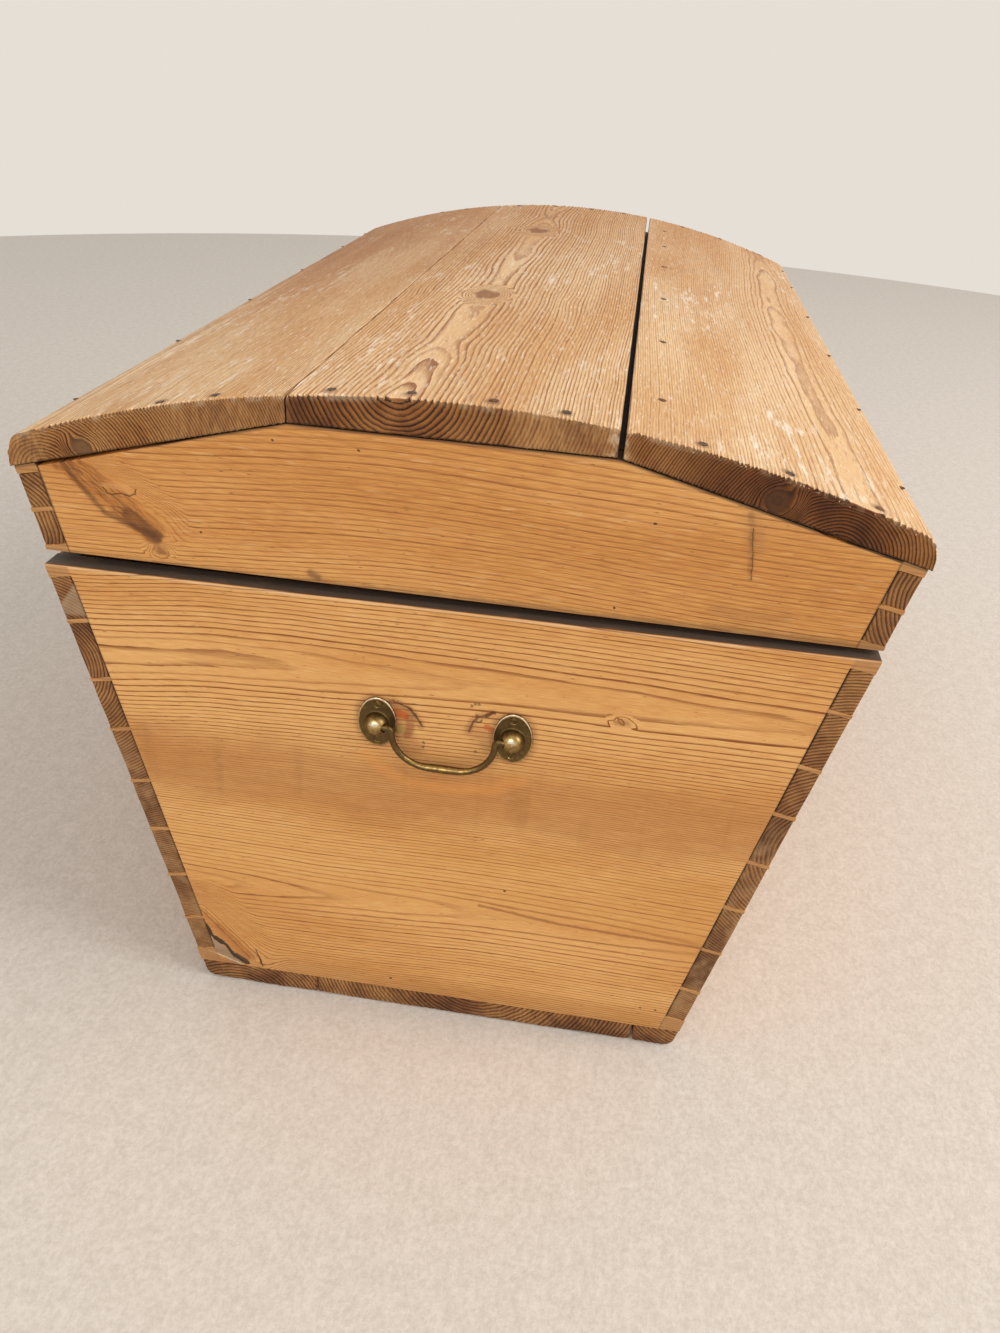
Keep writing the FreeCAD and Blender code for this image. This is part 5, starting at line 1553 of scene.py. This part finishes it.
# %% Handle sizes
HANDLE_Y = 0.0013
HANDLE_Z = 0.328
ROSE_OFF_Y = 0.05385
ROSE_HALF = (0.0155, 0.0230)
BOSS_R = 0.0095
BOSS_CENTRE = 0.0038
BAIL_OFF = 0.0082
BAIL_R = 0.00275
GRIP_R = 0.0034
SCREW_OFF_Z = 0.0165
BOSS_FOOT = ((0.0095, 0.0030), (0.00955, 0.0023), (0.0098, 0.00178), (0.0104, 0.00155))
PLATE_SECTION = ((0.12, 0.00146), (0.30, 0.00138), (0.50, 0.00136), (0.68, 0.00142), (0.80, 0.00158),
                 (0.89, 0.00178), (0.95, 0.00172), (0.985, 0.00135), (1.0, 0.0008), (1.0, 0.0003), (0.985, 0.0))
SEAT_SECTION = ((0.0036, 0.003), (0.0033, 0.0014), (0.0030, 0.0010), (0.0017, 0.0), (0.0017, -0.002))
BORE_PLACES = (-0.0021, 0.004, 0.0068, 0.0085, 0.014)


def on_end(end_side, y_mid, across, up, out):
    """Points given from a rose's middle, across towards the handle's middle, up and out of the trunk's end."""
    way = -1 if y_mid > 0 else 1
    return np.stack(np.broadcast_arrays(end_side * (CHEST_END + out), HANDLE_Y + y_mid + way * across,
                                        HANDLE_Z + up), -1)


def screw_loops(end_side, y_mid, side, angles, section):
    """Loops round the middle of an upper (1) or lower (-1) screw of a rose."""
    return [on_end(end_side, y_mid, reach * np.cos(angles), side * SCREW_OFF_Z + reach * np.sin(angles), out)
            for reach, out in section]


print("handle at", HANDLE_Y, HANDLE_Z)

# %% [markdown]
# ### Casting a rose
# The loops run from the top of the boss down its side and out over the plate. Small dents and a wavy rim keep
# the casting from looking turned. The bore and the two screw seats are skinned in the same way, and a Boolean
# modifier takes them away.

# %% One rose with its seats cut
def rose(node, end_side, y_mid, seed):
    """A cast rose in place of a packed one, on the trunk's right (1) or left (-1) end."""
    c, s = np.cos(AROUND), np.sin(AROUND)
    loops, rub_and_highlight = [], []
    for turn in np.radians(np.linspace(3, 90, 16)):
        dent = 0.00012 * noise(c * math.sin(turn) * 2, s * math.sin(turn) * 2, seed=seed)
        flat = 0.0007 * math.exp(-(turn / 0.5) ** 2)
        loops.append((BOSS_R * math.sin(turn) * c, BOSS_R * math.sin(turn) * s,
                      BOSS_CENTRE + BOSS_R * math.cos(turn) - flat + dent))
        # The top of the boss is worn bright, and high adds a painted highlight on its upper side.
        high = np.exp(-((turn - 0.55) / 0.40) ** 2) * np.maximum(s, 0.0)
        rub_and_highlight.append(0.62 - 0.45 * turn / (math.pi / 2) + 0.50 * high)
    for reach, out in BOSS_FOOT:
        loops.append((reach * c, reach * s, np.full_like(c, out)))
        rub_and_highlight.append(-0.05 + 0 * c)
    edge = 1 / np.hypot(c / ROSE_HALF[0], s / ROSE_HALF[1]) - 0.0002 * (1 + noise(AROUND * 2.2, seed=seed)) / 2
    for share, out in PLATE_SECTION:
        reach = BOSS_FOOT[-1][0] + share * (edge - BOSS_FOOT[-1][0])
        wave = 0.00006 * noise(reach * c / 0.004, reach * s / 0.004, seed=seed + 1) * (out > 0.001)
        loops.append((reach * c, reach * s, out + wave))
        # The rim gets a painted highlight, stronger on its upper side.
        rub_and_highlight.append(0.14 + (0.85 + 0.25 * s) * math.exp(-((share - 0.93) / 0.055) ** 2))
    made = skin(node + "_cast", [on_end(end_side, y_mid, *loop) for loop in loops], brass, np.array(rub_and_highlight))

    small = AROUND[::4]
    bore = []
    for across in BORE_PLACES:
        wide = 0.0031 + 0.0009 * (across > 0.006) + 0.0003 * noise(small * 1.3, across / 0.003, seed=seed)
        bore.append(on_end(end_side, y_mid, across, wide * np.sin(small), BAIL_OFF + wide * np.cos(small)))
    seats = [screw_loops(end_side, y_mid, side, small, SEAT_SECTION) for side in (-1, 1)]
    cut(made, [skin("cutter", loops, brass) for loops in [bore] + seats])
    settle(made, "chest", [node])


ENDS = ((1, "right", 31), (-1, "left", 35))
for end_side, end_name, seed in ENDS:
    rose(end_name + "_handle_back_rose", end_side, ROSE_OFF_Y, seed)
    rose(end_name + "_handle_front_rose", end_side, -ROSE_OFF_Y, seed + 2)

# %% [markdown]
# ### Screws in the roses
# Each rose has two slotted screws, turned home by hand, so no two slots point the same way. The shank is
# there too, since a rose can be taken off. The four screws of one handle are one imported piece, so they are
# joined at the end.

# %% Screws in the roses
SCREW_SECTION = ((0.0008, 0.00152), (0.0016, 0.00144), (0.0023, 0.00128), (0.0027, 0.00108), (0.0028, 0.0009),
                 (0.0015, -0.0004), (0.0014, -0.0120), (0.0005, -0.0148))
# The head's rounded edge gets a painted highlight ring, and its top a little rubbing.
SCREW_RUB_AND_HIGHLIGHT = (0.3, 0.2, 0.1, 0.5, 0.2, 0.0, 0.0, 0.0)
SLOT_CORNERS = ((-0.004, -0.0003), (0.0, -0.0003), (0.004, -0.0003), (0.004, 0.0003), (0.0, 0.0003),
                (-0.004, 0.0003))
SLOT_DEPTHS = (0.0008, 0.003)


def rose_screw(end_side, y_mid, side):
    """A screw with a low domed head and a slot."""
    made = skin("screw", screw_loops(end_side, y_mid, side, AROUND[::2], SCREW_SECTION), brass,
                np.array(SCREW_RUB_AND_HIGHLIGHT)[:, None])
    turn = 0.6 + 2.1 * side + 9.0 * y_mid
    c, s = math.cos(turn), math.sin(turn)
    a, b = np.array(SLOT_CORNERS).T
    slot = [on_end(end_side, y_mid, c * a - s * b, side * SCREW_OFF_Z + s * a + c * b, out)
            for out in SLOT_DEPTHS]
    cut(made, [skin("slot", slot, brass)])
    return made


for end_side, end_name, seed in ENDS:
    screws = [rose_screw(end_side, y_mid, side) for y_mid in (-ROSE_OFF_Y, ROSE_OFF_Y) for side in (-1, 1)]
    with bpy.context.temp_override(active_object=screws[0], selected_editable_objects=screws):
        bpy.ops.object.join()
    screws[0].name = end_name + "_handle_screws_turned"
    settle(screws[0], "chest", [end_name + "_handle_screws"])

# %% [markdown]
# ## The bails
# A bail is a bent rod with a thicker grip, whose ends are pins in the bosses. It could be a curve with a bevel
# and a radius at each point. Loops set square to a path do the same, and let a painted highlight on the side
# that faces the light be stored as well.

# %% Bend the bails
def bail_path():
    """Places of the rod's middle, their directions and radii, from one pin to the other."""
    pin_y, leg_y, corner_r, bend_r = ROSE_OFF_Y + 0.0015, 0.041, 0.0042, 0.029
    half = [(y, 0.0) for y in np.linspace(pin_y, leg_y + corner_r, 6)[:-1]]
    half += [(leg_y + corner_r * (1 - math.sin(a)), -corner_r * (1 - math.cos(a)))
             for a in np.linspace(0, math.pi / 2, 8)[:-1]]
    half += [(leg_y - bend_r * (1 - math.cos(a)), -corner_r - bend_r * math.sin(a))
             for a in np.linspace(0, math.pi / 2, 22)]
    half += [(y, -corner_r - bend_r) for y in np.linspace(leg_y - bend_r, 0, 7)[1:]]
    path = np.array(half + [(-y, z) for y, z in half[-2::-1]])
    way = np.gradient(path, axis=0)
    way /= np.linalg.norm(way, axis=1)[:, None]
    swell = np.exp(-(path[:, 0] / 0.0165) ** 4) * (path[:, 1] < -0.02)
    radius = BAIL_R * 0.94 + (GRIP_R - BAIL_R * 0.94) * swell
    return path, way, radius


def bail(node, end_side, body, seed):
    """A bent bail in place of a packed one, hanging from its bosses."""
    path, way, radius = bail_path()
    small = AROUND[::3]
    loops, rub_and_highlight = [], []
    for (y, z), (way_y, way_z), wide in zip(path, way, radius):
        worn = wide * (1 + 0.02 * noise(y / 0.006, z / 0.006, small * 0.9, seed))
        side_y, side_z = -way_z, way_y
        lift = worn * np.cos(small)
        loops.append(np.stack([end_side * (CHEST_END + BAIL_OFF + worn * np.sin(small)),
                               HANDLE_Y + y + side_y * lift, HANDLE_Z + z + side_z * lift], -1))
        # Painted highlight: the rod is brighter where it faces up and out of the trunk's end, towards the light
        # and the camera, and darker on the straight pins at the bosses.
        lit = 0.75 * side_z * np.cos(small) + 0.66 * np.sin(small)
        rub_and_highlight.append(0.14 + 0.46 * ease(lit, 0.72, 0.98) - 0.25 * (z > -0.002))
    settle(skin(node + "_bent", loops, brass, np.array(rub_and_highlight)), body, [node])


bail("right_handle_bail", 1, "right_bail", 41)
bail("left_handle_bail", -1, "left_bail", 43)

# %% [markdown]
# ## Iron
# The nails, hinges and lock are hand-forged iron. It is nearly black, a little shiny where it is rubbed and
# brown where it rusts. One function takes its dark and light tones, its rust and how much of it there is,
# since a nail's head weathers more than a hinge pin that is worked every day.

# %% Iron finish
IRON_BUMP = (0.5, 0.0006)
RUST_SPECK = "8a5a35"


def old_iron(name, dark, light, rust, rusty):
    """Forged iron. rusty is where the noise starts and ends to turn into rust."""
    material, tree = new_material(name)
    blows = cloud(spot(tree), 70.0, 2.0)
    scale = cloud(spot(tree), 420.0, 5.0, 0.65)
    bloom = (scale * 0.6 + blows * 0.4).rise(*rusty)
    metal = mix(bloom, mix(scale.rise(0.35, 0.7), dark, light), mix(scale, rust, RUST_SPECK))
    finish_material(tree, {"Base Color": metal, "Metallic": 0.75 - bloom * 0.6,
                           "Roughness": 0.5 + bloom * 0.3 + (scale - 0.5) * 0.2},
                    blows * 0.6 + scale * 0.5, *IRON_BUMP)
    return material


nail_iron = old_iron("nail_iron", "382c25", "74665a", "5c3c25", (0.42, 0.62))
forged_iron = old_iron("forged_iron", "242120", "4d4845", "4a2e1c", (0.50, 0.68))
worked_iron = old_iron("worked_iron", "3a3735", "6d6964", "50361f", (0.56, 0.72))
print("iron is ready")

# %% [markdown]
# ## Packed metal pieces
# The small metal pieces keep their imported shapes, so only their edges are softened, with a Bevel modifier.
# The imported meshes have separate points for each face, and a Weld modifier joins them first, so that the
# bevel finds its edges. Weighted normals then keep the flat faces flat in the light.

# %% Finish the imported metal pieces
WELD_REACH = 0.00001
EDGE_TURN = math.radians(35)
DRESSED = ((nail_iron, 0.0004, ("bottom_nails", "lid_end_nails", "lid_rail_nails", "lid_batten_nails",
                                "hinge_chest_nails", "hinge_lid_nails", "lock_plate_nails")),
           (forged_iron, 0.0005, ("right_hinge_chest_strap", "right_hinge_lid_strap", "left_hinge_chest_strap",
                                  "left_hinge_lid_strap")),
           (worked_iron, 0.0003, ("right_hinge_pin", "left_hinge_pin", "lock_bolt")),
           (forged_iron, 0.0003, ("lock_plate", "lock_case", "lid_catch")),
           (worked_iron, 0.0002, ("lid_catch_screws",)),
           (brass, 0.0004, ("keyhole_escutcheon",)), (brass, 0.0003, ("escutcheon_pins",)))


def dress(node, material, bevel):
    """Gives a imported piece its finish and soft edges."""
    piece = frame["nodes"][node]
    piece.data.materials.clear()
    piece.data.materials.append(material)
    weld = piece.modifiers.new("weld", "WELD")
    weld.merge_threshold = WELD_REACH
    edges = piece.modifiers.new("edges", "BEVEL")
    edges.width = bevel
    edges.segments = 2
    edges.limit_method = "ANGLE"
    edges.angle_limit = EDGE_TURN
    piece.modifiers.new("normals", "WEIGHTED_NORMAL")


for material, bevel, nodes in DRESSED:
    for node in nodes:
        dress(node, material, bevel)
print("packed pieces with a finish", sum(1 for piece in frame["nodes"].values() if piece.modifiers))
